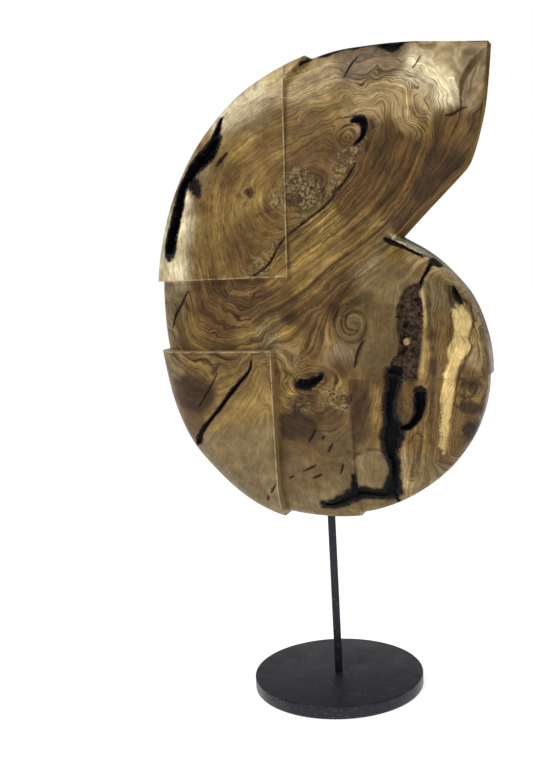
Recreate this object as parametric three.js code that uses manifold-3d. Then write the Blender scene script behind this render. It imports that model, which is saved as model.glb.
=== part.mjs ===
import * as THREE from 'three';
import { mergeVertices } from 'three/addons/utils/BufferGeometryUtils.js';
import Module from 'manifold-3d';

// A nautilus carved from one lump of olive wood, standing on a square steel bar
// and a round steel base. Millimetres, +Z up, the carving's face towards -Y and
// its mouth towards +X. The origin is the middle of the base's underside.

// Stand
const baseRadius = 100;
const baseThickness = 15;
const baseChamfer = 1.5;
const barWidth = 9;
const barTop = 262;
const barTurn = THREE.MathUtils.degToRad(18);
const fitGap = 0.3;

// Carving: how deep it is from its middle plane to its face
const crown = { x: 5, z: 440, depth: 49, fall: 24, reach: 280 };
const edgeRound = 42;
const keelDepth = 12;
const neck = { x: 130, z: 560, depth: 14, reach: 75 };

// Outline at the lowest level, in the middle plane, as [x, z]
const middle = [0, 480];
const backCurve = [
  [197, 721], [160, 724.5], [112, 729.5], [67, 730], [26, 727], [-25, 713], [-73, 690], [-112, 658],
  [-142, 622], [-165, 580], [-180, 535], [-187.5, 490], [-188.5, 440], [-184, 395], [-174, 345], [-155, 300],
  [-125, 264], [-90, 234], [-50, 215], [0, 208.5], [45, 211], [85, 223.5], [122, 245], [153, 273],
  [176, 308], [189, 349], [190.5, 390], [184, 425], [171, 457], [150, 483], [125, 505], [94, 524],
];
const neckLine = [[94, 524], [119, 549], [160, 588]];
const mouthLine = [[160, 588], [170, 599], [180, 622], [189, 654], [194, 690], [197, 721]];
const backSteps = 88;
const neckSteps = 5;
const mouthSteps = 10;
const ringCount = 12;

// Offset blocks: the planes that bound them, how far they stand proud of the
// face (front) and how far they stand out past the outline (out)
const upperBlock = {
  right: -21, flare: 12, flareFrom: 702, bottom: 488, out: 3.5,
  least: 1.5, leastAt: 590, top: 10, topRun: 130, foot: 4, footRun: 100, left: 3, leftFrom: -60, leftRun: 130,
};
const lowerBlock = { right: -48, slant: 5, top: 407, out: 4.5, front: 11.5 };
const sunkBlock = { left: 41, top: 373, out: -3, front: -4.5 };
const farOut = 400;

// Hollows in the face: outline as [x, z] and the distance of the floor from the middle plane
const pocket = {
  floor: 30,
  outline: [
    [124, 473], [110, 467], [102, 456], [97, 442], [100, 421], [101, 402], [98, 392], [88, 386],
    [85, 372], [112, 372], [119, 393], [123, 415], [125, 436], [126, 456],
  ],
};
const rimSplit = {
  floor: 2,
  outline: [
    [-99, 662], [-117, 643], [-141, 613], [-157, 584], [-168, 548], [-176, 514],
    [-170, 513], [-160, 545], [-150, 577], [-135, 604], [-112, 636], [-95, 656],
  ],
};
const charredSlot = {
  floor: 24,
  outline: [
    [84, 370], [76, 345], [74, 310], [72, 270], [82, 240], [90, 236], [86, 262], [87, 300], [84, 340], [92, 370],
  ],
};
const shortSlot = {
  floor: 28,
  outline: [[113, 352], [124, 352], [124, 330], [120, 322], [112, 328]],
};

// Peg standing in the pocket
const peg = { x: 106, z: 413, radius: 4, tip: 43, root: 14, dome: 2.5 };

const wasm = await Module();
wasm.setup();

// three.js geometry to a manifold solid, merged on position only
function toSolid(geometry) {
  const bare = geometry.clone();
  bare.deleteAttribute('normal');
  bare.deleteAttribute('uv');
  const merged = mergeVertices(bare, 1e-4);
  const mesh = new wasm.Mesh({
    numProp: 3,
    vertProperties: new Float32Array(merged.attributes.position.array),
    triVerts: new Uint32Array(merged.index.array),
  });
  return new wasm.Manifold(mesh);
}

// manifold solid back to a three.js geometry
function toGeometry(solid) {
  const mesh = solid.getMesh();
  const geometry = new THREE.BufferGeometry();
  geometry.setAttribute('position', new THREE.BufferAttribute(mesh.vertProperties, 3));
  geometry.setIndex(new THREE.BufferAttribute(mesh.triVerts, 1));
  geometry.computeVertexNormals();
  return geometry;
}

// A prism along Y over an outline in the XZ plane
function prism(outline, front, back) {
  const shape = new THREE.Shape(outline.map(([x, z]) => new THREE.Vector2(x, z)));
  const geometry = new THREE.ExtrudeGeometry(shape, { depth: back - front, bevelEnabled: false });
  geometry.rotateX(Math.PI / 2);
  geometry.translate(0, back, 0);
  return toSolid(geometry);
}

// Evenly spaced places along a smooth curve through the given points, without the last one
function placesAlong(points, steps) {
  const curve = new THREE.CatmullRomCurve3(points.map(([x, z]) => new THREE.Vector3(x, 0, z)));
  return curve.getSpacedPoints(steps).slice(0, steps);
}

// Thickness of the edge band: a thin keel, growing to the flat underside of the neck
function edgeDepth(x, z) {
  const away = Math.hypot(x - neck.x, z - neck.z) / neck.reach;
  return keelDepth + neck.depth * Math.exp(-(away ** 4));
}

// Nearest place on a closed ring of places: how far off it is, and the edge band's depth there
function nearestEdge(x, z, ring) {
  let best = { inset: Infinity, edge: keelDepth };
  ring.forEach((from, i) => {
    const to = ring[(i + 1) % ring.length];
    const dx = to.x - from.x;
    const dz = to.z - from.z;
    const along = ((x - from.x) * dx + (z - from.z) * dz) / (dx * dx + dz * dz);
    const share = THREE.MathUtils.clamp(along, 0, 1);
    const inset = Math.hypot(x - from.x - share * dx, z - from.z - share * dz);
    if (inset < best.inset) best = { inset, edge: THREE.MathUtils.lerp(from.edge, to.edge, share) };
  });
  return best;
}

// Distance of the face from the middle plane: a broad dome that rounds down to the edge band
function faceDepth(x, z, ring) {
  const { inset, edge } = nearestEdge(x, z, ring);
  const away = Math.hypot(x - crown.x, z - crown.z) / crown.reach;
  const dome = Math.max(crown.depth - crown.fall * away ** 2, edge);
  const rise = Math.min(inset / edgeRound, 1);
  return edge + (dome - edge) * Math.sqrt(1 - (1 - rise) ** 2);
}

// The whole outline once round, moved outwards by this much
function outlineRing(out) {
  const ring = [
    ...placesAlong(backCurve, backSteps),
    ...placesAlong(neckLine, neckSteps),
    ...placesAlong(mouthLine, mouthSteps),
  ];
  return ring.map((place, i) => {
    const before = ring[(i + ring.length - 1) % ring.length];
    const after = ring[(i + 1) % ring.length];
    const along = new THREE.Vector2(after.x - before.x, after.z - before.z).normalize();
    return { x: place.x + out * along.y, z: place.z - out * along.x, edge: edgeDepth(place.x, place.z) };
  });
}

// A closed lens-shaped shell: rings from the middle out to the outline on the face
// and on the back, joined by the edge band. out moves the outline, proud(x, z) the face.
function lensShell(out, proud) {
  const ring = outlineRing(out);
  const around = ring.length;
  const positions = [];
  const faces = [];
  const [cx, cz] = middle;
  for (const side of [-1, 1]) {
    positions.push(cx, side * (faceDepth(cx, cz, ring) + proud(cx, cz)), cz);
    for (let j = 1; j <= ringCount; j += 1) {
      const share = 1 - (1 - j / ringCount) ** 2;
      for (const place of ring) {
        const x = cx + (place.x - cx) * share;
        const z = cz + (place.z - cz) * share;
        positions.push(x, side * (faceDepth(x, z, ring) + proud(x, z)), z);
      }
    }
  }
  const sideSize = 1 + ringCount * around;
  const vertex = (side, j, i) => side * sideSize + (j === 0 ? 0 : 1 + (j - 1) * around + (i % around));
  for (let i = 0; i < around; i += 1) {
    faces.push(vertex(0, 0, 0), vertex(0, 1, i), vertex(0, 1, i + 1));
    faces.push(vertex(1, 0, 0), vertex(1, 1, i + 1), vertex(1, 1, i));
    for (let j = 1; j < ringCount; j += 1) {
      faces.push(vertex(0, j, i), vertex(0, j + 1, i), vertex(0, j + 1, i + 1));
      faces.push(vertex(0, j, i), vertex(0, j + 1, i + 1), vertex(0, j, i + 1));
      faces.push(vertex(1, j, i), vertex(1, j + 1, i + 1), vertex(1, j + 1, i));
      faces.push(vertex(1, j, i), vertex(1, j, i + 1), vertex(1, j + 1, i + 1));
    }
    faces.push(vertex(0, ringCount, i), vertex(1, ringCount, i), vertex(1, ringCount, i + 1));
    faces.push(vertex(0, ringCount, i), vertex(1, ringCount, i + 1), vertex(0, ringCount, i + 1));
  }
  const geometry = new THREE.BufferGeometry();
  geometry.setAttribute('position', new THREE.Float32BufferAttribute(positions, 3));
  geometry.setIndex(faces);
  return toSolid(geometry);
}

// How proud the upper block stands: most at the top and along its left end
function upperProud(x, z) {
  const { least, leastAt, top, topRun, foot, footRun, left, leftFrom, leftRun } = upperBlock;
  const up = z - leastAt;
  const bend = up > 0 ? top * (up / topRun) ** 2 : foot * (up / footRun) ** 2;
  return least + bend + left * THREE.MathUtils.clamp((leftFrom - x) / leftRun, 0, 1);
}

function carving() {
  const ground = lensShell(0, () => 0);
  const { right, bottom, flare, flareFrom } = upperBlock;
  const upperArea = prism(
    [[-farOut, bottom], [right, bottom], [right, flareFrom], [right + 2 * flare, flareFrom + 2 * flare],
      [-farOut, flareFrom + 2 * flare]], -90, 90);
  const upper = lensShell(upperBlock.out, upperProud).intersect(upperArea);

  const low = lowerBlock;
  const lowerArea = prism(
    [[-farOut, low.top], [-farOut, 0], [low.right - low.slant, 0], [low.right + low.slant, low.top]], -90, 90);
  const lower = lensShell(low.out, () => low.front).intersect(lowerArea);

  const sunk = sunkBlock;
  const sunkArea = prism([[sunk.left, 0], [farOut, 0], [farOut, sunk.top], [sunk.left, sunk.top]], -90, 90);
  const sunkKeep = lensShell(sunk.out, () => sunk.front);

  let solid = ground.subtract(sunkArea.subtract(sunkKeep)).add(upper).add(lower);
  for (const hollow of [pocket, rimSplit, charredSlot, shortSlot]) {
    solid = solid.subtract(prism(hollow.outline, -90, -hollow.floor));
  }

  const socketWidth = barWidth + 2 * fitGap;
  const socket = new THREE.BoxGeometry(socketWidth, socketWidth, barTop + fitGap);
  socket.translate(0, 0, (barTop + fitGap) / 2);
  socket.rotateZ(barTurn);
  solid = solid.subtract(toSolid(socket));

  const pegHole = new THREE.CylinderGeometry(peg.radius + fitGap, peg.radius + fitGap, pocket.floor, 24);
  pegHole.translate(peg.x, -(peg.root - fitGap) - pocket.floor / 2, peg.z);
  solid = solid.subtract(toSolid(pegHole));
  return toGeometry(solid);
}

function baseDisc() {
  const r = baseRadius;
  const t = baseThickness;
  const c = baseChamfer;
  const profile = [[0, 0], [r - c, 0], [r, c], [r, t - c], [r - c, t], [0, t]];
  const geometry = new THREE.LatheGeometry(profile.map(([x, y]) => new THREE.Vector2(x, y)), 96);
  geometry.rotateX(Math.PI / 2);
  return geometry;
}

function squareBar() {
  const bottom = baseThickness + fitGap;
  const geometry = new THREE.BoxGeometry(barWidth, barWidth, barTop - bottom);
  geometry.translate(0, 0, (barTop + bottom) / 2);
  geometry.rotateZ(barTurn);
  return geometry;
}

// A short round peg along Y with a domed tip
function pocketPeg() {
  const profile = [new THREE.Vector2(0, -peg.root), new THREE.Vector2(peg.radius, -peg.root)];
  for (let k = 0; k <= 6; k += 1) {
    const turn = (k / 6) * (Math.PI / 2);
    profile.push(new THREE.Vector2(peg.radius * Math.cos(turn), -(peg.tip - peg.dome) - peg.dome * Math.sin(turn)));
  }
  return new THREE.LatheGeometry(profile.reverse(), 24);
}

function piece(name, geometry, colour, roughness, metalness) {
  const mesh = new THREE.Mesh(geometry, new THREE.MeshStandardMaterial({ color: colour, roughness, metalness }));
  mesh.name = name;
  return mesh;
}

const group = new THREE.Group();
group.add(piece('nautilus_body', carving(), 0x9c8156, 0.45, 0));
group.add(piece('stand_base', baseDisc(), 0x26282b, 0.55, 0.6));
group.add(piece('stand_bar', squareBar(), 0x202326, 0.5, 0.6));
const pegMesh = piece('pocket_peg', pocketPeg(), 0xc9b47a, 0.5, 0);
pegMesh.position.set(peg.x, 0, peg.z);
group.add(pegMesh);

export default group;
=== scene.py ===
import math

import bpy
import numpy as np
from mathutils import Matrix, Vector, noise


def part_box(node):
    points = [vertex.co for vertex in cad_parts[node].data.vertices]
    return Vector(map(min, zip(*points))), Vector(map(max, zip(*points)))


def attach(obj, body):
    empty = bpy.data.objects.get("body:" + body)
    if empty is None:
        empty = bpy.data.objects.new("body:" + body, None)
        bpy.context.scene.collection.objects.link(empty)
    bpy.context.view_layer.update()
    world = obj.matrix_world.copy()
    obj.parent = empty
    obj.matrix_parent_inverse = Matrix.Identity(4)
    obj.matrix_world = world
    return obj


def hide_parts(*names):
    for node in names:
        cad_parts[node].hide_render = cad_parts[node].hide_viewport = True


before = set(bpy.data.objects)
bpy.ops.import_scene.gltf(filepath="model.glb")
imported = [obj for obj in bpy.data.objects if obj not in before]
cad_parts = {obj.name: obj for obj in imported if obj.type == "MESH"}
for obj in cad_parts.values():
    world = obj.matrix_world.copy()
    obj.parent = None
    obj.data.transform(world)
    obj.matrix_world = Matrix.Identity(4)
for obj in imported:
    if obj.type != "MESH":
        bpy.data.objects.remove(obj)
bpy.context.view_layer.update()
mm = 0.001
print("frame loaded:", sorted(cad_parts))


# camera, lights and floor
studio = {
    "cameraAt": (0.3533, -1.1556, 0.5343),
    "yaw": -20.16, "pitch": 7.77, "roll": 3.2,      # degrees: left of +Y, down, right side up
    "lens": 50.07,
    "lightsAim": (0, 0, 0.45),
    "keyAt": (-0.75, -1.35, 1.9), "keyPower": 21, "keySize": 0.9, "keyShine": 1.3,
    "fillAt": (1.5, -1.6, 0.9), "fillPower": 7, "fillSize": 1.2, "fillShine": 0.2,
    "sky": 0.42, "backdrop": 1.0,                   # the backdrop is seen brighter than it lights
    "floorWide": 14, "floorDrop": 0.0005, "floorTone": 0.93,
    "floorRough": 0.9, "floorShine": 0.1, "floorGlow": 0.66,
}


def addSoftbox(kind):
    bpy.ops.object.light_add(type="AREA", location=studio[kind + "At"])
    box = bpy.context.object
    box.name = kind + "Softbox"
    box.data.energy = studio[kind + "Power"]
    box.data.size = studio[kind + "Size"]
    box.data.specular_factor = studio[kind + "Shine"]
    direction = Vector(studio["lightsAim"]) - box.location
    box.rotation_euler = direction.to_track_quat("-Z", "Y").to_euler()


def addCamera():
    yaw, pitch, roll = (math.radians(studio[k]) for k in ("yaw", "pitch", "roll"))
    forward = Vector((math.sin(yaw) * math.cos(pitch), math.cos(yaw) * math.cos(pitch), -math.sin(pitch)))
    right = Vector((math.cos(yaw), -math.sin(yaw), 0))
    up = right.cross(forward)
    tiltRight = right * math.cos(roll) - up * math.sin(roll)
    tiltUp = right * math.sin(roll) + up * math.cos(roll)
    bpy.ops.object.camera_add()
    camera = bpy.context.object
    camera.data.lens = studio["lens"]
    turn = Matrix((tiltRight, tiltUp, -forward)).transposed().to_4x4()
    camera.matrix_world = Matrix.Translation(studio["cameraAt"]) @ turn
    bpy.context.scene.camera = camera


def addWorld():
    world = bpy.data.worlds.new("paleStudio")
    world.use_nodes = True
    tree = world.node_tree
    light = tree.nodes["Background"]
    seen = tree.nodes.new("ShaderNodeBackground")
    for node, strength in ((light, studio["sky"]), (seen, studio["backdrop"])):
        node.inputs["Color"].default_value = (1, 1, 1, 1)
        node.inputs["Strength"].default_value = strength
    choose = tree.nodes.new("ShaderNodeMixShader")
    tree.links.new(tree.nodes.new("ShaderNodeLightPath").outputs["Is Camera Ray"], choose.inputs[0])
    tree.links.new(light.outputs[0], choose.inputs[1])
    tree.links.new(seen.outputs[0], choose.inputs[2])
    tree.links.new(choose.outputs[0], tree.nodes["World Output"].inputs["Surface"])
    bpy.context.scene.world = world
    bpy.context.scene.view_settings.view_transform = "Standard"


def addFloor():
    bpy.ops.mesh.primitive_plane_add(size=studio["floorWide"], location=(0, 0, -studio["floorDrop"]))
    floor = bpy.context.object
    floor.name = "paleFloor"
    paint = bpy.data.materials.new("paleFloorPaint")
    paint.use_nodes = True
    skin = paint.node_tree.nodes["Principled BSDF"]
    tone = studio["floorTone"]
    skin.inputs["Base Color"].default_value = (tone, tone, tone, 1)
    skin.inputs["Roughness"].default_value = studio["floorRough"]
    skin.inputs["Specular IOR Level"].default_value = studio["floorShine"]
    skin.inputs["Emission Color"].default_value = (1, 1, 1, 1)
    skin.inputs["Emission Strength"].default_value = studio["floorGlow"]
    floor.data.materials.append(paint)


addCamera()
addSoftbox("key")
addSoftbox("fill")
addWorld()
addFloor()
print("studio set")


# the carving's form, in millimetres: outline in the middle plane and depth of the face
carving = {
    "middle": (0, 480),
    "back": [
        (197, 721), (160, 724.5), (112, 729.5), (67, 730), (26, 727), (-25, 713), (-73, 690), (-112, 658),
        (-142, 622), (-165, 580), (-180, 535), (-187.5, 490), (-188.5, 440), (-184, 395), (-174, 345),
        (-155, 300), (-125, 264), (-90, 234), (-50, 215), (0, 208.5), (45, 211), (85, 223.5), (122, 245),
        (153, 273), (176, 308), (189, 349), (190.5, 390), (184, 425), (171, 457), (150, 483), (125, 505),
        (94, 524),
    ],
    "neck": [(94, 524), (119, 549), (160, 588)],
    "mouth": [(160, 588), (170, 599), (180, 622), (189, 654), (194, 690), (197, 721)],
    "backPlaces": 360, "neckPlaces": 34, "mouthPlaces": 46,         # points round the outline
    "faceRings": 92, "bandRings": 8, "rearRings": 52, "crowding": 1.7,      # rings crowd towards the rim
    "crown": (5, 440), "crownDepth": 49, "crownFall": 24, "crownReach": 280,
    "edgeRound": 42, "keel": 12, "neckAt": (130, 560), "neckDeep": 14, "neckReach": 75,
    "rimRun": 14, "ripple": 0.25, "rippleScale": 0.03,                      # relief runs out at the rim
    "smoothUnder": 32,                                                      # degrees
}
upperBlock = {
    "right": -21, "flare": 12, "flareFrom": 702, "bottom": 488, "out": 3.5,
    "least": 1.5, "leastAt": 590, "top": 10, "topRun": 130, "foot": 4, "footRun": 100,
    "left": 3, "leftFrom": -60, "leftRun": 130,
}
lowerBlock = {"right": -48, "slant": 5, "top": 407, "out": 4.5, "front": 11.2}
sunkBlock = {"left": 41, "top": 373, "out": -3, "front": -4.5}
farOut = 400
slabHalf = 90


# evenly spaced places on a smooth curve through the points
def smoothPath(points, count, closed=False):
    ends = np.array(points, float)
    if closed:
        ends = np.vstack([ends[-1], ends, ends[0], ends[1]])
    else:
        ends = np.vstack([2 * ends[0] - ends[1], ends, 2 * ends[-1] - ends[-2]])
    dense = []
    for a, b, c, d in zip(ends[:-3], ends[1:-2], ends[2:-1], ends[3:]):
        t = np.linspace(0, 1, 24, endpoint=False)[:, None]
        dense.append(0.5 * (2 * b + (c - a) * t + (2 * a - 5 * b + 4 * c - d) * t ** 2
                            + (3 * b - a - 3 * c + d) * t ** 3))
    dense = np.vstack(dense + [ends[-2][None, :]])
    run = np.concatenate([[0], np.cumsum(np.hypot(*np.diff(dense[:, :2], axis=0).T))])
    places = np.linspace(0, run[-1], count + 1)
    return np.stack([np.interp(places, run, dense[:, k]) for k in range(dense.shape[1])], axis=1)


# the outline once round, moved outwards, with the depth of the edge band at each place
def outlineRing(out):
    parts = [smoothPath(carving[part], carving[part + "Places"])[:-1] for part in ("back", "neck", "mouth")]
    ring = np.vstack(parts)
    away = np.hypot(ring[:, 0] - carving["neckAt"][0], ring[:, 1] - carving["neckAt"][1]) / carving["neckReach"]
    edge = carving["keel"] + carving["neckDeep"] * np.exp(-away ** 4)
    along = np.roll(ring, -1, axis=0) - np.roll(ring, 1, axis=0)
    along /= np.hypot(*along.T)[:, None]
    moved = ring + out * np.stack([along[:, 1], -along[:, 0]], axis=1)
    return moved, edge


# distance in from a closed ring, and the band depth at the nearest place
def nearestEdge(x, z, ring, edge):
    count, stride = len(ring), 8
    best = np.full(x.shape, 1e9)
    start = np.zeros(x.shape, int)
    for k, (rx, rz) in enumerate(ring[::stride]):
        gap = np.hypot(x - rx, z - rz)
        nearer = gap < best
        best[nearer] = gap[nearer]
        start[nearer] = k * stride
    inset = np.full(x.shape, 1e9)
    band = np.zeros(x.shape)
    for step in range(-stride - 1, stride + 1):       # the segments on both sides of that place
        k = (start + step) % count
        a, b = ring[k], ring[(k + 1) % count]
        dx, dz = (b - a).T
        share = np.clip(((x - a[:, 0]) * dx + (z - a[:, 1]) * dz) / (dx * dx + dz * dz), 0, 1)
        gap = np.hypot(x - a[:, 0] - share * dx, z - a[:, 1] - share * dz)
        nearer = gap < inset
        inset[nearer] = gap[nearer]
        band[nearer] = (edge[k] + (edge[(k + 1) % count] - edge[k]) * share)[nearer]
    return inset, band


def domeDepth(x, z, inset, band):
    away = np.hypot(x - carving["crown"][0], z - carving["crown"][1]) / carving["crownReach"]
    dome = np.maximum(carving["crownDepth"] - carving["crownFall"] * away ** 2, band)
    rise = np.clip(inset / carving["edgeRound"], 0, 1)
    return band + (dome - band) * np.sqrt(1 - (1 - rise) ** 2)


def upperProud(x, z):
    up = z - upperBlock["leastAt"]
    bend = np.where(up > 0, upperBlock["top"] * (up / upperBlock["topRun"]) ** 2,
                    upperBlock["foot"] * (up / upperBlock["footRun"]) ** 2)
    left = np.clip((upperBlock["leftFrom"] - x) / upperBlock["leftRun"], 0, 1)
    return upperBlock["least"] + bend + upperBlock["left"] * left


# the lower block's right wall leans a little
def lowerRight(z):
    return lowerBlock["right"] + lowerBlock["slant"] * (2 * z / lowerBlock["top"] - 1)


# one of four values at each place of the face, by the block it lies in
def byBlock(x, z, upper, lower, sunk, ground):
    inUpper = (x < upperBlock["right"]) & (z > upperBlock["bottom"])
    inLower = (x < lowerRight(z)) & (z < lowerBlock["top"])
    inSunk = (x > sunkBlock["left"]) & (z < sunkBlock["top"])
    return np.where(inUpper, upper, np.where(inLower, lower, np.where(inSunk, sunk, ground)))


# smooth noise, about -1 to 1, at each place
def softNoise(points, scale, seed):
    shift = Vector((seed * 17.3, seed * 5.1, seed * 9.7))
    return np.array([noise.noise(Vector(p) * scale + shift) for p in points])


# distance to an open path and how far along it the nearest place is, from 0 to 1
def pathDistance(x, z, path):
    best = np.full(x.shape, 1e9)
    where = np.zeros(x.shape)
    lengths = np.hypot(*np.diff(path[:, :2], axis=0).T)
    start = np.concatenate([[0], np.cumsum(lengths)])
    for k, (a, b) in enumerate(zip(path[:-1], path[1:])):
        dx, dz = b[:2] - a[:2]
        share = np.clip(((x - a[0]) * dx + (z - a[1]) * dz) / max(dx * dx + dz * dz, 1e-9), 0, 1)
        gap = np.hypot(x - a[0] - share * dx, z - a[1] - share * dz)
        nearer = gap < best
        best[nearer] = gap[nearer]
        where[nearer] = ((start[k] + share * lengths[k]) / start[-1])[nearer]
    return best, where


# the distance to a smooth path [x, z, half width] and the half width at the nearest place
def stripDistance(x, z, points):
    way = smoothPath(points, 40)
    gap, where = pathDistance(x, z, way)
    return gap, np.interp(where, np.linspace(0, 1, len(way)), way[:, 2])


# the coil: a groove that starts in the notch and winds in; the wood inside it stands proud of the wood outside
coil = {
    "groove": [
        (100, 524), (85, 514), (68, 497), (52, 483), (39, 464), (33, 447), (31, 433), (35, 421.5),
        (45.5, 415.5), (55.5, 418), (62, 426), (63.6, 435.6), (60, 444), (52, 447), (45, 443), (43.3, 435.6),
        (45.5, 430), (50.5, 428.5),
    ],
    "places": 110, "area": (5, 125, 385, 545),                  # left, right, low, high
    "grooveDeep": 2.2, "step": 5.0, "stepRun": 11,
    "swell": (62, 440), "swellHigh": 3.0, "swellWide": 46,
    "closeUp": (24, 72, 406, 456), "closeUpCuts": 2,
    "wide": ([0, 0.25, 0.5, 0.75, 1], [9, 6, 2.4, 1.6, 1.2]),   # along the way in, from 0 to 1
    "fade": ([0, 0.08, 0.3, 0.9, 0.97, 1], [0.3, 0.55, 0.8, 1, 0.9, 0.3]),
    "run": ([0, 0.4, 0.7, 1], [2.0, 1.3, 1.0, 0.9]),
}


def coilRelief(x, z):
    path = smoothPath(coil["groove"], coil["places"])
    left, right, low, high = coil["area"]
    near = (x > left) & (x < right) & (z > low) & (z < high)
    px, pz = x[near], z[near]
    best = np.full(px.shape, 1e9)
    inner = np.zeros(px.shape)
    where = np.zeros(px.shape)
    for k, (a, b) in enumerate(zip(path[:-1], path[1:])):
        dx, dz = b - a
        share = np.clip(((px - a[0]) * dx + (pz - a[1]) * dz) / (dx * dx + dz * dz), 0, 1)
        gap = np.hypot(px - a[0] - share * dx, pz - a[1] - share * dz)
        nearer = gap < best
        best[nearer] = gap[nearer]
        inner[nearer] = (dx * (pz - a[1]) - dz * (px - a[0]))[nearer]      # left of the way in is the inside
        where[nearer] = (k + share[nearer]) / len(path)
    wide = np.interp(where, *coil["wide"])
    signed = np.where(inner > 0, best, -best)
    rise = 1 / (1 + np.exp(-signed / (wide * 0.28)))
    run = coil["stepRun"] * np.interp(where, *coil["run"])
    step = coil["step"] * rise * np.exp(-(np.maximum(signed, 0) / run) ** 2)
    groove = coil["grooveDeep"] * np.exp(-((signed + wide * 0.3) / wide) ** 2)
    relief = np.zeros(x.shape)
    relief[near] = np.interp(where, *coil["fade"]) * (step - groove)
    swell = np.hypot(x - coil["swell"][0], z - coil["swell"][1]) / coil["swellWide"]
    return relief + coil["swellHigh"] * np.exp(-swell ** 4)


# rough gold burl, where the polished face breaks up: places [x, z, reach]
burl = {
    "high": 1.1, "lump": 0.23, "grit": 0.5,
    "places": [
        (-8, 590, 17), (6, 575, 17), (-2, 562, 12), (-32, 572, 11), (24, 574, 11), (40, 600, 9), (44, 615, 8),
        (52, 608, 7), (34, 584, 8), (66, 634, 6), (59, 620, 7), (-44, 511, 8), (-34, 522, 6), (-52, 500, 11),
        (-66, 494, 8), (26, 352, 13), (33, 343, 8), (-12, 345, 8),
    ],
}


def burlAmount(x, z):
    amount = np.zeros(x.shape)
    for bx, bz, reach in burl["places"]:
        amount = np.maximum(amount, np.exp(-(np.hypot(x - bx, z - bz) / reach) ** 4))
    return amount


def isActive(thing):
    bpy.ops.object.select_all(action="DESELECT")
    thing.select_set(True)
    bpy.context.view_layer.objects.active = thing


def readPoints(thing):
    co = np.empty(len(thing.data.vertices) * 3)
    thing.data.vertices.foreach_get("co", co)
    return co.reshape(-1, 3)


# moves the points to places in millimetres
def movePoints(thing, x, y, z):
    thing.data.vertices.foreach_set("co", (np.stack([x, y, z], axis=1) * mm).ravel())
    thing.data.update()


def faceOutwards(thing):
    isActive(thing)
    bpy.ops.object.mode_set(mode="EDIT")
    bpy.ops.mesh.select_all(action="SELECT")
    bpy.ops.mesh.normals_make_consistent(inside=False)
    bpy.ops.object.mode_set(mode="OBJECT")


# a ball, its rings laid over the face, round the edge band and over the back
def lensShell(name, out, proud):
    ring, edge = outlineRing(out)
    around = len(ring)
    faceRings, bandRings, rearRings = carving["faceRings"], carving["bandRings"], carving["rearRings"]
    rings = faceRings + bandRings + rearRings + 1
    bpy.ops.object.select_all(action="DESELECT")
    bpy.ops.mesh.primitive_uv_sphere_add(segments=around, ring_count=rings, radius=1)
    shell = bpy.context.object
    shell.name = name
    ball = readPoints(shell)
    row = np.rint(np.arccos(np.clip(ball[:, 2], -1, 1)) / math.pi * rings).astype(int)
    turn = np.rint(np.arctan2(ball[:, 1], ball[:, 0]) / (2 * math.pi) * around).astype(int) % around

    onFace, onRear = row <= faceRings, row > faceRings + bandRings
    share = np.ones(len(row))
    share[onFace] = 1 - (1 - row[onFace] / faceRings) ** carving["crowding"]
    share[onRear] = 1 - (1 - (rings - row[onRear]) / rearRings) ** carving["crowding"]
    cx, cz = carving["middle"]
    x = cx + (ring[turn, 0] - cx) * share
    z = cz + (ring[turn, 1] - cz) * share
    inset, bandDepth = nearestEdge(x, z, ring, edge)
    inner = np.clip(inset / carving["rimRun"], 0, 1)
    depth = domeDepth(x, z, inset, bandDepth) + proud(x, z) + coilRelief(x, z) * inner
    places = np.stack([x, z, np.where(onFace, 0, 40)], axis=1)             # the back gets noise of its own
    lumps = softNoise(places, burl["lump"], 3) + 0.6 * softNoise(places, burl["grit"], 4)
    depth += burl["high"] * lumps * burlAmount(x, z) * inner * onFace
    depth += carving["ripple"] * softNoise(places, carving["rippleScale"], 9) * inner
    y = np.where(onFace, -depth, depth)
    onBand = ~onFace & ~onRear
    across = (row[onBand] - faceRings) / (bandRings + 1) * 2 - 1
    y[onBand] = across * edge[turn[onBand]] + across * proud(x[onBand], z[onBand])
    movePoints(shell, x, y, z)
    faceOutwards(shell)
    return shell


# splits the faces round the coil finer and lays the relief over them again
def sharpenCoil(shell):
    left, right, low, high = coil["closeUp"]
    mesh = shell.data
    isActive(shell)
    bpy.ops.object.mode_set(mode="EDIT")
    bpy.ops.mesh.select_mode(type="FACE")
    bpy.ops.mesh.select_all(action="DESELECT")
    bpy.ops.object.mode_set(mode="OBJECT")
    for face in mesh.polygons:
        c = face.center / mm
        face.select = bool(left < c.x < right and low < c.z < high and c.y < 0)
    before = len(mesh.vertices)
    bpy.ops.object.mode_set(mode="EDIT")
    bpy.ops.mesh.subdivide(number_cuts=coil["closeUpCuts"])
    bpy.ops.object.mode_set(mode="OBJECT")
    co = readPoints(shell)
    x, z = co[before:, 0] / mm, co[before:, 2] / mm
    inset, band = nearestEdge(x, z, *outlineRing(0))
    depth = domeDepth(x, z, inset, band) + coilRelief(x, z)
    depth += carving["ripple"] * softNoise(np.stack([x, 0 * x, z], axis=1), carving["rippleScale"], 9)
    co[before:, 1] = -depth * mm
    mesh.vertices.foreach_set("co", co.ravel())
    mesh.update()


# a straight-sided block over an outline in the face plane, through the whole carving
def slab(name, outline):
    bpy.ops.object.select_all(action="DESELECT")
    bpy.ops.mesh.primitive_circle_add(vertices=len(outline), fill_type="NGON")
    block = bpy.context.object
    block.name = name
    for vertex, (x, z) in zip(block.data.vertices, outline):
        vertex.co = Vector((x, -slabHalf, z)) * mm
    bpy.ops.object.mode_set(mode="EDIT")
    for layer in range(2):
        bpy.ops.mesh.select_mode(type="FACE")
        bpy.ops.mesh.extrude_region_move(TRANSFORM_OT_translate={"value": (0, slabHalf * mm, 0)})
    bpy.ops.object.mode_set(mode="OBJECT")
    faceOutwards(block)
    return block


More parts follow.
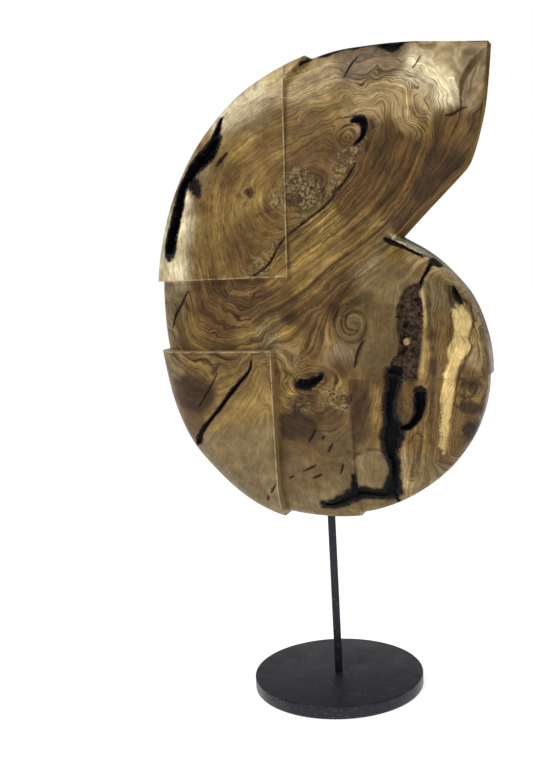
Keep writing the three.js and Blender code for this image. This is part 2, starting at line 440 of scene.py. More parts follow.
def combine(body, tool, operation):
    step = body.modifiers.new("carve", "BOOLEAN")
    step.object = tool
    step.operation = operation
    step.solver = "MANIFOLD"
    isActive(body)
    bpy.ops.object.modifier_apply(modifier=step.name)
    bpy.data.objects.remove(tool)


def carveBlocks():
    u, low, sunk = upperBlock, lowerBlock, sunkBlock
    body = lensShell("nautilusCarving", 0, lambda x, z: np.zeros(x.shape))
    sharpenCoil(body)
    flareTop = u["flareFrom"] + 2 * u["flare"]
    wall = slab("upperArea", [(-farOut, u["bottom"]), (u["right"], u["bottom"]), (u["right"], u["flareFrom"]),
                              (u["right"] + 2 * u["flare"], flareTop), (-farOut, flareTop)])
    upper = lensShell("upperRaised", u["out"], upperProud)
    combine(upper, wall, "INTERSECT")
    wall = slab("lowerArea", [(-farOut, low["top"]), (-farOut, 0), (lowerRight(0), 0),
                              (lowerRight(low["top"]), low["top"])])
    lower = lensShell("lowerRaised", low["out"], lambda x, z: np.full(x.shape, low["front"]))
    combine(lower, wall, "INTERSECT")
    dip = slab("sunkArea", [(sunk["left"], 0), (farOut, 0), (farOut, sunk["top"]), (sunk["left"], sunk["top"])])
    keep = lensShell("sunkKeep", sunk["out"], lambda x, z: np.full(x.shape, sunk["front"]))
    combine(dip, keep, "DIFFERENCE")
    combine(body, dip, "DIFFERENCE")
    combine(body, upper, "UNION")
    combine(body, lower, "UNION")
    return body


nautilus = carveBlocks()
print("blocks carved:", len(nautilus.data.polygons), "faces")


# hollows and cracks: the way along each as [x, z, half width], how deep, how strongly and how far it chars
# the wood; bowl squares the floor off, across is the strips over it, rough its bumps, narrow thins the cut
# and above is the height under which it leaves no char
hollows = [
    {"name": "rimSplit", "deep": 26, "char": 1.0, "fade": 3.0, "bowl": 8, "across": 8,
        "way": [(-100, 645, 2), (-107, 637, 6.5), (-116, 627, 8), (-130, 617, 7), (-142, 603, 5.2),
        (-150, 590, 5), (-153, 577, 5.6), (-156.5, 564, 6.2), (-160, 551, 6), (-164, 538, 6.4),
        (-166, 527, 7), (-166.5, 519, 5.5)]},
    {"name": "splitTip", "deep": 7, "char": 1.0, "fade": 1.6, "way": [(-98, 666, 1.2), (-100, 660, 2.0),
        (-102, 653, 3.0), (-106, 645, 3.4), (-110, 637, 3.2)]},
    {"name": "pocket", "above": 371, "deep": 17, "char": 0.62, "fade": 2.0, "bowl": 6, "across": 18,
        "rough": 1.6, "way": [(123, 474, 1.5), (116, 467, 6.5), (113, 457, 10.5), (112, 443, 13),
        (112, 428, 12), (111, 412, 10.5), (108, 397, 10.5), (103, 385, 14), (101, 376, 15)]},
    {"name": "charBand", "deep": 10, "narrow": 0.8, "char": 1.0, "fade": 4.2, "bowl": 4, "across": 8,
        "way": [(92, 378, 7), (88, 362, 5), (84, 342, 4.2), (85, 327, 6), (87, 317, 9.5), (84, 304, 10),
        (83, 292, 6.5), (86, 276, 3.6), (85, 262, 4.2), (82, 250, 6.5), (78, 241, 5)]},
    {"name": "slot", "deep": 15, "char": 1.0, "fade": 1.6, "bowl": 6, "across": 8, "way": [(118.5, 358, 5.6),
        (118, 346, 5.6), (116, 335, 4.4), (111, 325.5, 3.2), (103, 319, 2.8), (95, 317, 2.4)]},
    {"name": "arm", "deep": 5, "narrow": 0.7, "char": 1.0, "fade": 4.5, "bowl": 2, "across": 5,
        "way": [(84, 244, 5), (72, 240, 3.4), (60, 240.5, 3.4), (48, 242, 4), (38, 240, 5), (27, 234, 4),
        (14, 228, 2.6), (2, 227, 1.5)]},
    {"name": "armSpike", "deep": 4, "char": 0.9, "fade": 2, "way": [(39.5, 264, 0.5), (39.5, 254, 1.3),
        (38, 243, 2.5)]},
    {"name": "tail", "deep": 5, "char": 0.9, "fade": 1.5, "way": [(82, 246, 2), (84, 236, 1.5),
        (85, 228, 0.5)]},
    {"name": "lipCrack", "deep": 9, "char": 0.9, "fade": 0.6, "way": [(85, 524.5, 0.8), (90, 521, 2.2),
        (98, 517.5, 2.2), (106, 513.5, 1.3), (116, 508, 1.1), (124, 504, 1.1), (131, 500, 1.5),
        (136, 495.5, 2.4), (141, 492.5, 1.4), (145, 490.5, 0.5)]},
    {"name": "branch", "deep": 8, "char": 0.9, "fade": 0.7, "way": [(134, 496, 1.6), (129, 486, 1.0),
        (125, 478, 0.9), (122, 470, 1.4)]},
    {"name": "sideHole", "deep": 8, "char": 0.9, "fade": 0.8, "way": [(156, 469, 0.8), (158, 463, 2.2),
        (161, 457, 2.4), (164, 452, 0.8)]},
    {"name": "ringVoid", "deep": 5, "char": 0.9, "fade": 4, "way": [(-137, 601, 1.2), (-133, 597, 4),
        (-130, 591, 4.6), (-127, 585, 1.5)]},
    {"name": "leafSlit", "deep": 4, "char": 0.6, "fade": 1.5, "way": [(-89, 628, 0.5), (-96, 621, 1.6),
        (-102, 615, 0.7)]},
    {"name": "commaHole", "deep": 8, "char": 1.0, "fade": 1.2, "across": 6, "way": [(54, 650, 1.2),
        (60, 651.5, 3), (66, 649, 3.8), (68, 642, 2.8), (66.5, 635, 1.9), (62, 629, 1.2), (57, 626, 0.5)]},
    {"name": "longCrack", "deep": 3.4, "char": 0.5, "fade": 1.0, "way": [(58, 606, 0.4), (50, 593, 0.7),
        (42, 583, 1.0), (36, 577, 3.2), (31, 570, 1.6), (20, 560, 0.9), (0, 547, 0.8), (-19.5, 534, 0.8)]},
    {"name": "longCrackLow", "deep": 3.4, "char": 0.5, "fade": 1.0, "way": [(-22.5, 531.5, 0.7),
        (-32, 520, 0.8), (-38, 509, 1.1), (-46, 500, 0.9), (-60, 491, 0.8)]},
    {"name": "bandCrack", "deep": 5, "char": 0.6, "fade": 1.0, "way": [(-147, 475, 0.4), (-155, 462, 1.1),
        (-165, 449, 1.2), (-172, 433, 0.5)]},
    {"name": "lowCrack", "deep": 10, "char": 0.9, "fade": 1.0, "across": 6, "way": [(-67, 398, 0.3),
        (-70, 386, 0.7), (-80, 375, 1.2), (-93, 362, 2.0), (-105, 348, 1.5), (-120, 332, 1.4),
        (-130, 322, 1.5), (-138, 312, 2.6), (-144, 303, 3.8), (-149, 296, 1.5)]},
    {"name": "lowFissure", "deep": 3, "char": 0.4, "fade": 0.8, "way": [(-110, 383, 0.3), (-123, 363, 0.8),
        (-138, 343, 0.3)]},
    {"name": "eyeHole", "deep": 10, "char": 1.0, "fade": 1.6, "across": 8, "way": [(-18, 367, 2),
        (-13, 368, 5.6), (-6, 368, 5.2), (0, 370.5, 3.8), (6, 374, 3), (12, 378, 1.2)]},
    {"name": "coilCrack", "deep": 3, "char": 0.3, "fade": 0.8, "way": [(60, 416, 0.7), (53, 402, 0.8),
        (49, 386, 0.6)]},
    {"name": "topFissure", "deep": 3, "char": 0.4, "fade": 1.2, "way": [(60, 718, 0.5), (52, 708, 1.0),
        (46, 697, 0.4)]},
    {"name": "topSlit", "deep": 3, "char": 0.4, "fade": 0.8, "way": [(128, 712, 0.3), (122, 703, 0.8),
        (120, 700, 0.3)]},
    {"name": "mouthCrack", "deep": 3, "char": 0.4, "fade": 1.5, "way": [(153, 648, 0.4), (160, 648.5, 1.6),
        (168, 653, 0.8), (175, 655, 0.3)]},
    {"name": "barkNotch", "deep": 5, "char": 1.0, "fade": 2.0, "across": 6, "way": [(84, 728, 1),
        (92, 725.6, 2.2), (98, 723.6, 3.2), (103, 725.4, 2.2), (108, 728, 1)]},
]
# short drying checks in the lower part: from, to
checks = [
    ((0, 316), (-9, 302)), ((-18, 267.5), (-2, 275)), ((-8, 259), (3, 264)), ((29, 277), (25, 265)),
    ((19, 301), (12, 290)), ((-50, 253), (-57, 242)), ((-61, 240), (-64, 231)), ((-37, 258), (-31, 261.5)),
    ((7, 305), (9, 309)),
]
checkForm = {"deep": 2.6, "char": 0.5, "fade": 0.7}
checkBend, checkEnd, checkMiddle = 0.4, 0.3, 0.85                           # sideways bend and half widths
for number, ((ax, az), (bx, bz)) in enumerate(checks):
    way = [(ax, az, checkEnd), ((ax + bx) / 2 + checkBend, (az + bz) / 2, checkMiddle), (bx, bz, checkEnd)]
    hollows.append(dict(checkForm, name="check%d" % number, way=way))
rearHollows = [
    {"name": "rearSplit", "deep": 18, "char": 1.0, "fade": 3.0, "bowl": 6, "across": 6,
        "way": [(-104, 648, 1.5), (-122, 628, 5), (-138, 606, 5.5), (-149, 583, 4.5), (-157, 558, 5),
        (-163, 535, 3), (-166, 522, 1)]},
    {"name": "rearCrack", "deep": 9, "char": 0.9, "fade": 2, "across": 6, "way": [(120, 470, 0.6),
        (112, 440, 2.4), (104, 405, 3.4), (96, 372, 2.6), (88, 335, 3.6), (84, 300, 2.0), (86, 265, 0.6)]},
    {"name": "rearFork", "deep": 6, "char": 0.7, "fade": 1.5, "way": [(60, 300, 0.5), (72, 312, 1.6),
        (84, 318, 2.0)]},
    {"name": "rearKnot", "deep": 6, "char": 1.0, "fade": 2.5, "way": [(-40, 610, 1.5), (-34, 606, 4.5),
        (-27, 603, 1.5)]},
    {"name": "rearLow", "deep": 6, "char": 0.6, "fade": 1.2, "way": [(-70, 372, 0.4), (-96, 340, 1.8),
        (-118, 310, 1.4), (-130, 290, 0.4)]},
]
hollowForm = {"step": 1.7, "fray": 0.42, "fineFray": 0.22, "endDeep": 0.2, "sideDeep": 0.35, "pullOut": 45}

levelRings = {"ground": outlineRing(0), "upper": outlineRing(upperBlock["out"]),
              "lower": outlineRing(lowerBlock["out"]), "sunk": outlineRing(sunkBlock["out"])}


# depth of the finished face, steps included
def surfaceDepth(x, z):
    depths = {}
    for level, (ring, edge) in levelRings.items():
        depths[level] = domeDepth(x, z, *nearestEdge(x, z, ring, edge))
    depth = byBlock(x, z, depths["upper"], depths["lower"], depths["sunk"], depths["ground"])
    steps = byBlock(x, z, upperProud(x, z), lowerBlock["front"], sunkBlock["front"], 0.0)
    return depth + steps + coilRelief(x, z)


# a bent strip that is the hollow's ragged floor, pulled out past the face
def trough(hollow, side, seed):
    form = hollowForm
    way = smoothPath(hollow["way"], 4)
    length = np.hypot(*np.diff(way[:, :2], axis=0).T).sum()
    steps = max(8, int(length / form["step"]))
    way = smoothPath(hollow["way"], steps)
    bpy.ops.object.select_all(action="DESELECT")
    bpy.ops.mesh.primitive_grid_add(x_subdivisions=steps, y_subdivisions=hollow.get("across", 4), size=1)
    tool = bpy.context.object
    tool.name = hollow["name"]
    flat = readPoints(tool)
    column = np.clip(np.rint((flat[:, 0] + 0.5) * steps).astype(int), 0, steps)
    v = flat[:, 1] * 2                                                      # -1 to 1 across the strip
    along = np.gradient(way[:, :2], axis=0)
    along /= np.hypot(*along.T)[:, None]
    sideways = np.stack([-along[:, 1], along[:, 0]], axis=1)
    edges = np.stack([way[column, 0], way[column, 1], np.sign(v) * 9], axis=1)
    fray = softNoise(edges, 0.28, seed) * form["fray"] + softNoise(edges, 0.75, seed + 5) * form["fineFray"]
    half = way[column, 2]
    reach = half * hollow.get("narrow", 1) * (1 + fray * np.clip(np.abs(half) / 1.2, 0.3, 1))
    x = way[column, 0] + sideways[column, 0] * v * reach
    z = way[column, 1] + sideways[column, 1] * v * reach
    ends = np.sin(np.pi * np.clip(column / steps, 0.0, 1)) ** 0.35
    bowl = form["sideDeep"] + (1 - form["sideDeep"]) * (1 - np.abs(v) ** hollow.get("bowl", 2))
    places = np.stack([x, z, np.zeros(x.shape)], axis=1)
    bumps = softNoise(places, 0.22, seed + 9) + 0.7 * softNoise(places, 0.6, seed + 11)
    deep = hollow["deep"] * (form["endDeep"] + (1 - form["endDeep"]) * ends) * bowl
    deep += hollow.get("rough", 0.5) * bumps * (np.abs(v) < 0.95)
    movePoints(tool, x, side * (surfaceDepth(x, z) - np.maximum(deep, 0.6)), z)
    isActive(tool)
    bpy.ops.object.mode_set(mode="EDIT")
    bpy.ops.mesh.select_all(action="SELECT")
    bpy.ops.mesh.extrude_region_move(TRANSFORM_OT_translate={"value": (0, side * form["pullOut"] * mm, 0)})
    bpy.ops.object.mode_set(mode="OBJECT")
    faceOutwards(tool)
    return tool


for side, firstSeed, group in ((-1, 0, hollows), (1, 60, rearHollows)):
    for number, hollow in enumerate(group):
        combine(nautilus, trough(hollow, side, firstSeed + number), "DIFFERENCE")
print("hollows opened:", len(nautilus.data.polygons), "faces")


# socket for the bar and the hole for the peg
barLow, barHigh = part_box("stand_bar")
pegLow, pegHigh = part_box("pocket_peg")
pegMiddle = (pegLow + pegHigh) / 2
barTurn = math.radians(18)
barWide = 9 * mm
holes = {"socketPlay": 0.7 * mm, "socketTop": 0.6 * mm, "pegPlay": 0.3 * mm, "pegBite": 0.3 * mm,
         "pegHole": 32 * mm, "pegSides": 32}


def drillHoles(body):
    wide = barWide + holes["socketPlay"]
    bpy.ops.object.select_all(action="DESELECT")
    bpy.ops.mesh.primitive_cube_add(size=1, location=(0, 0, barHigh.z / 2), rotation=(0, 0, barTurn),
                                    scale=(wide, wide, barHigh.z + holes["socketTop"]))
    combine(body, bpy.context.object, "DIFFERENCE")
    holeAt = (pegMiddle.x, pegHigh.y - holes["pegBite"] - holes["pegHole"] / 2, pegMiddle.z)
    bpy.ops.object.select_all(action="DESELECT")
    bpy.ops.mesh.primitive_cylinder_add(vertices=holes["pegSides"], depth=holes["pegHole"],
                                        radius=(pegHigh.x - pegLow.x) / 2 + holes["pegPlay"],
                                        location=holeAt, rotation=(math.radians(90), 0, 0))
    combine(body, bpy.context.object, "DIFFERENCE")


drillHoles(nautilus)


# the figure of the wood: lines of growth as levels in millimetres across the grain, closed or open
growthLines = [
    (0, True, [(-15, 580), (5, 574), (18, 585), (4, 594)]),
    (24, True, [(-40, 574), (-28, 596), (-5, 612), (24, 620), (48, 612), (48, 596), (30, 574), (8, 560),
        (-14, 555), (-32, 561)]),
    (46, True, [(-66, 492), (-74, 520), (-86, 553), (-84, 585), (-66, 608), (-34, 624), (0, 638), (32, 654),
        (62, 662), (80, 652), (80, 630), (68, 605), (48, 580), (24, 557), (0, 541), (-26, 522), (-46, 500)]),
    (72, True, [(-92, 480), (-100, 520), (-107, 560), (-100, 600), (-80, 628), (-45, 647), (0, 661),
        (50, 676), (86, 670), (104, 645), (102, 615), (86, 585), (62, 558), (30, 532), (-5, 508), (-48, 480),
        (-80, 465)]),
    (102, True, [(-126, 480), (-134, 530), (-131, 570), (-114, 610), (-90, 645), (-52, 670), (0, 685),
        (55, 697), (102, 690), (132, 668), (137, 640), (130, 610), (113, 575), (92, 549), (60, 523),
        (22, 498), (-22, 468), (-68, 444), (-103, 438)]),
    (134, True, [(-152, 470), (-160, 530), (-153, 570), (-137, 605), (-111, 642), (-75, 678), (-30, 701),
        (20, 713), (80, 716), (132, 706), (162, 682), (165, 650), (153, 615), (135, 585), (113, 553),
        (97, 530), (62, 506), (26, 479), (-10, 450), (-50, 424), (-95, 413), (-132, 424)]),
    (165, False, [(-178, 480), (-168, 430), (-152, 402), (-128, 386), (-103, 384), (-74, 399), (-36, 425),
        (-4, 445), (20, 462), (50, 484), (80, 505), (104, 520)]),
    (185, False, [(-186, 430), (-172, 395), (-148, 374), (-120, 367), (-92, 373), (-66, 392), (-38, 402)]),
    (190, False, [(100, 508), (72, 490), (44, 472), (27, 452), (22, 430), (22, 408), (12, 390)]),
    (176, False, [(-22, 392), (-12, 410), (2, 432), (10, 452)]),
    (206, True, [(30, 434), (36, 446), (50, 451), (64, 444), (66, 428), (56, 416), (42, 415)]),
    (214, True, [(46, 436), (52, 442), (58, 437), (53, 430)]),
    (212, False, [(96, 488), (84, 465), (78, 440), (78, 415), (70, 390), (62, 372)]),
    (238, False, [(104, 480), (98, 455), (96, 430), (98, 400), (88, 376), (76, 340), (66, 300), (60, 250),
        (58, 220)]),
    (262, False, [(128, 492), (131, 450), (129, 410), (122, 372), (104, 345), (98, 310), (94, 270), (86, 235)]),
    (290, False, [(146, 480), (150, 450), (149, 410), (140, 372), (130, 335), (124, 300), (116, 262),
        (104, 236)]),
    (318, False, [(162, 462), (168, 430), (165, 398), (155, 372), (148, 345), (144, 310), (136, 276)]),
    (344, False, [(176, 445), (181, 410), (178, 380), (168, 350), (160, 315), (152, 288)]),
    (176, True, [(-20, 368), (-14, 378), (2, 380), (12, 376), (8, 364), (-8, 358)]),
    (188, True, [(-32, 366), (-20, 386), (2, 390), (24, 382), (30, 362), (16, 346), (-12, 344)]),
    (200, False, [(-44, 396), (-44, 360), (-34, 338), (-8, 328), (20, 326), (40, 344), (44, 366)]),
    (214, False, [(-44, 330), (-20, 312), (10, 306), (38, 320), (52, 350)]),
    (226, False, [(-46, 300), (-34, 262), (-30, 222)]),
    (236, False, [(-8, 296), (2, 258), (4, 212)]),
    (232, False, [(34, 300), (36, 262), (34, 212)]),
    (202, False, [(-54, 404), (-66, 384), (-86, 358), (-110, 330), (-136, 302)]),
    (222, False, [(-50, 384), (-62, 352), (-84, 322), (-108, 292), (-124, 272)]),
    (240, False, [(-50, 340), (-70, 298), (-96, 258), (-104, 244)]),
    (198, False, [(-184, 376), (-160, 356), (-138, 350), (-120, 358)]),
    (212, False, [(-176, 340), (-158, 326), (-146, 312)]),
]
# small eyes that bend the lines round them: x, z, reach, strength
eyes = [
    (-64, 582, 6, 12), (51, 633, 11, 20), (-131, 594, 9, 12), (95, 716, 14, 14), (68, 712, 8, 8),
    (172, 312, 10, 16), (174, 363, 7, 14), (-12, 340, 9, 12), (124, 662, 16, 14), (60, 690, 12, 10),
    (25, 352, 9, 14), (150, 470, 8, 10),
]
figureGrid = {"cell": 3.0, "left": -216, "right": 222, "low": 190, "high": 752,
              "usual": 150.0, "rounds": 700, "haste": 1.85}


# spreads the levels smoothly between the growth lines
def solveFigure():
    grid = figureGrid
    cell = grid["cell"]
    xs, zs = np.arange(grid["left"], grid["right"], cell), np.arange(grid["low"], grid["high"], cell)
    field = np.full((len(zs), len(xs)), grid["usual"])
    held = np.zeros(field.shape, bool)
    for level, closed, path in growthLines:
        for px, pz in smoothPath(path, 160, closed):
            i, j = int(round((pz - zs[0]) / cell)), int(round((px - xs[0]) / cell))
            if 0 <= i < len(zs) and 0 <= j < len(xs):
                field[i, j] = level
                held[i, j] = True
    i, j = np.indices(field.shape)
    parity = (i + j) % 2
    for step in range(grid["rounds"]):
        for colour in (0, 1):
            wide = np.pad(field, 1, mode="edge")
            mean = (wide[:-2, 1:-1] + wide[2:, 1:-1] + wide[1:-1, :-2] + wide[1:-1, 2:]) / 4
            free = (parity == colour) & ~held
            field[free] += grid["haste"] * (mean[free] - field[free])
    return xs, zs, field


def sampleField(table, x, z):
    xs, zs, field = table
    u = np.clip((x - xs[0]) / (xs[1] - xs[0]), 0, len(xs) - 1.001)
    v = np.clip((z - zs[0]) / (zs[1] - zs[0]), 0, len(zs) - 1.001)
    j, i = u.astype(int), v.astype(int)
    fu, fv = u - j, v - i
    return ((field[i, j] * (1 - fu) + field[i, j + 1] * fu) * (1 - fv)
            + (field[i + 1, j] * (1 - fu) + field[i + 1, j + 1] * fu) * fv)


# tones of the wood, as seen, and where each one lies: x, z, reach
woodTones = {
    "cream": (216, 204, 172), "ivory": (184, 170, 138), "pale": (168, 146, 104), "straw": (214, 188, 126),
    "gold": (140, 115, 64), "honey": (118, 93, 52), "brown": (97, 72, 39), "umber": (62, 42, 20),
    "grey": (118, 101, 68), "mauve": (118, 99, 74), "drab": (97, 79, 48), "russet": (86, 62, 33),
    "black": (20, 18, 18), "ash": (126, 108, 74),
}
tonePlaces = {
    # the cream spots, the ivory spot at (-58, 688) and the pale spots at (-24, 702), (150, 712) and (-178, 492)
    # are pale wood with a painted highlight laid into it, where the rim curves towards the light
    "ivory": [(-58, 688, 22), (-140, 600, 8)],
    "cream": [(-88, 668, 14), (-152, 546, 13), (-166, 505, 17), (150, 690, 22), (122, 694, 13), (-146, 575, 6)],
    "pale": [(-24, 702, 16), (10, 694, 22), (90, 676, 22), (122, 658, 16), (182, 405, 10), (180, 448, 10),
        (166, 482, 9), (148, 497, 8), (118, 512, 8), (94, 262, 8), (-28, 402, 7), (150, 712, 18),
        (-178, 492, 12), (-128, 615, 8), (58, 660, 10)],
    "gold": [(-80, 642, 18), (-92, 565, 12), (-60, 576, 9), (30, 526, 12), (0, 508, 15), (-30, 486, 10),
        (66, 548, 9), (-75, 430, 10), (-86, 346, 15), (-60, 352, 10), (-118, 326, 8), (-30, 358, 11),
        (26, 352, 9), (124, 440, 5), (126, 404, 5), (168, 350, 7), (36, 662, 16), (-22, 425, 9),
        (98, 506, 8), (-6, 478, 9), (-44, 512, 9), (130, 640, 10), (-120, 540, 12), (22, 545, 9)],
    "honey": [(147, 420, 6), (-110, 505, 26), (-92, 566, 22), (-50, 535, 20), (-30, 655, 20), (-34, 598, 14),
        (-142, 430, 12), (-130, 392, 14), (-60, 384, 12), (145, 432, 10), (150, 300, 15), (60, 520, 12),
        (20, 420, 10), (118, 300, 10), (64, 326, 7), (10, 650, 14), (-64, 600, 14), (-100, 600, 12)],
    "brown": [(68, 320, 7), (-108, 450, 20), (20, 630, 22), (90, 636, 14), (160, 642, 13), (80, 600, 18),
        (120, 602, 18), (62, 562, 14), (100, 562, 11), (-20, 468, 14), (0, 448, 15), (-62, 458, 14),
        (40, 466, 11), (60, 352, 12), (10, 332, 12), (-150, 322, 11), (-40, 560, 8), (36, 620, 10),
        (-90, 600, 10), (76, 372, 8), (136, 620, 14), (-72, 520, 14), (10, 448, 12)],
    "umber": [(-142, 362, 14), (-20, 316, 12), (0, 582, 13), (150, 596, 12), (112, 430, 11), (134, 572, 12),
        (112, 545, 10), (140, 605, 14), (-12, 342, 5), (-20, 440, 7), (26, 452, 6)],
    "grey": [(-124, 604, 9), (-174, 456, 14), (-50, 424, 12), (84, 490, 17), (140, 458, 11), (-174, 382, 12),
        (-90, 262, 38), (-50, 300, 18), (0, 236, 22), (60, 226, 14), (112, 268, 13), (100, 470, 10),
        (-130, 290, 16)],
    "mauve": [(60, 714, 18), (98, 710, 12), (180, 672, 12), (178, 700, 10), (30, 402, 9), (-30, 270, 12)],
    "drab": [(52, 436, 14), (76, 412, 17), (22, 292, 16), (30, 262, 13), (62, 450, 12), (90, 440, 8),
        (-36, 290, 12)],
    "russet": [(112, 440, 5), (34, 388, 6), (134, 424, 4)],
}
# marks with an edge of their own: tone, strength, how soft the edge is, and the outline
patches = [
    # painted shadow under the upper block's bottom edge
    ("umber", 0.60, 2.4, [(-188, 487.6), (-66, 487.6), (-76, 478), (-100, 470), (-130, 473), (-160, 470),
        (-188, 476)]),
    ("umber", 0.90, 2.6, [(-176, 374), (-150, 380), (-128, 376), (-116, 362), (-122, 346), (-142, 336),
        (-164, 340)]),
    ("umber", 1.0, 1.8, [(-42, 334), (-20, 336), (-2, 330), (4, 318), (-8, 306), (-26, 302), (-42, 306)]),
    ("honey", 0.55, 4.0, [(-44, 402), (-20, 412), (-14, 398), (-24, 380), (-24, 366), (-34, 362), (-44, 372)]),
    ("umber", 0.80, 3.0, [(42, 366), (58, 368), (66, 350), (60, 322), (54, 300), (42, 300)]),
    ("gold", 0.35, 2.0, [(64, 368), (74, 366), (76, 340), (72, 312), (66, 306), (62, 330)]),
    ("umber", 0.55, 2.0, [(-34, 352), (-14, 354), (6, 356), (6, 348), (-10, 338), (-28, 342)]),
    ("straw", 1.0, 0.7, [(155, 447), (159, 453), (165, 449), (171, 442), (175, 430), (173, 418), (175, 408),
        (171, 399), (165, 392), (159, 380), (156, 364), (153, 345), (150, 330), (147, 315), (143, 298),
        (140, 284), (137, 296), (139, 316), (141, 333), (141, 350), (143, 366), (146, 380), (151, 391),
        (150, 404), (155, 414), (159, 425), (156, 436)]),
    ("ash", 0.9, 0.8, [(41, 281), (50, 288), (62, 291), (73, 289), (80, 282), (81, 268), (77, 255),
        (66, 247), (41, 247)]),
    ("russet", 0.90, 1.0, [(92, 372), (114, 372), (115, 345), (112, 332), (106, 324), (98, 323), (92, 332),
        (90, 350)]),
    ("gold", 0.55, 2.5, [(-104, 372), (-88, 384), (-68, 402), (-54, 396), (-54, 350), (-70, 334), (-96, 322),
        (-120, 318), (-104, 342), (-88, 362)]),
    ("brown", 0.60, 4.0, [(-44, 304), (-10, 308), (14, 296), (22, 268), (4, 250), (-24, 236), (-40, 244),
        (-46, 280)]),
    ("gold", 0.60, 1.2, [(165, 372), (178, 352), (176, 346), (164, 350), (156, 354)]),
    ("gold", 0.40, 1.0, [(100, 372), (105, 372), (106, 352), (104, 336), (100, 338), (99, 355)]),
    ("pale", 0.55, 1.2, [(121, 474), (127, 472), (130, 445), (128, 412), (125, 372), (119, 372), (122, 400),
        (125, 440)]),
    ("cream", 0.80, 0.8, [(87, 530), (100, 525), (112, 517), (126, 510), (138, 503), (150, 496), (158, 492),
        (146, 493), (136, 500), (124, 506), (110, 513), (98, 520)]),
    ("pale", 0.60, 2.0, [(88, 300), (97, 304), (100, 290), (98, 262), (94, 236), (88, 240), (90, 270)]),
    ("umber", 0.70, 1.6, [(158, 366), (166, 369), (180, 368), (182, 361), (172, 358), (162, 360)]),
    ("umber", 0.95, 1.4, [(160, 345), (170, 348), (180, 342), (181, 334), (172, 330), (163, 333), (158, 338)]),
    ("umber", 0.95, 1.4, [(160, 318), (168, 324), (178, 320), (177, 308), (168, 300), (161, 306)]),
    ("umber", 1.0, 0.8, [(-70, 582), (-66, 588), (-60, 588), (-57, 583), (-59, 577), (-65, 576)]),
    ("umber", 0.60, 2.4, [(-20, 608), (-6, 604), (6, 596), (16, 584), (22, 572), (12, 560), (-6, 556),
        (-18, 562), (-20, 580)]),
    ("brown", 0.55, 2.0, [(56, 655), (78, 652), (84, 636), (76, 618), (66, 612), (60, 620), (72, 632),
        (70, 646)]),
    ("mauve", 0.70, 3.0, [(-142, 600), (-128, 618), (-114, 616), (-112, 604), (-122, 590), (-128, 580),
        (-138, 584)]),
    ("brown", 0.70, 2.5, [(88, 724), (100, 714), (112, 722), (106, 729), (92, 730)]),
    ("umber", 0.50, 2.0, [(112, 660), (124, 664), (136, 652), (136, 636), (128, 634), (124, 648)]),
]
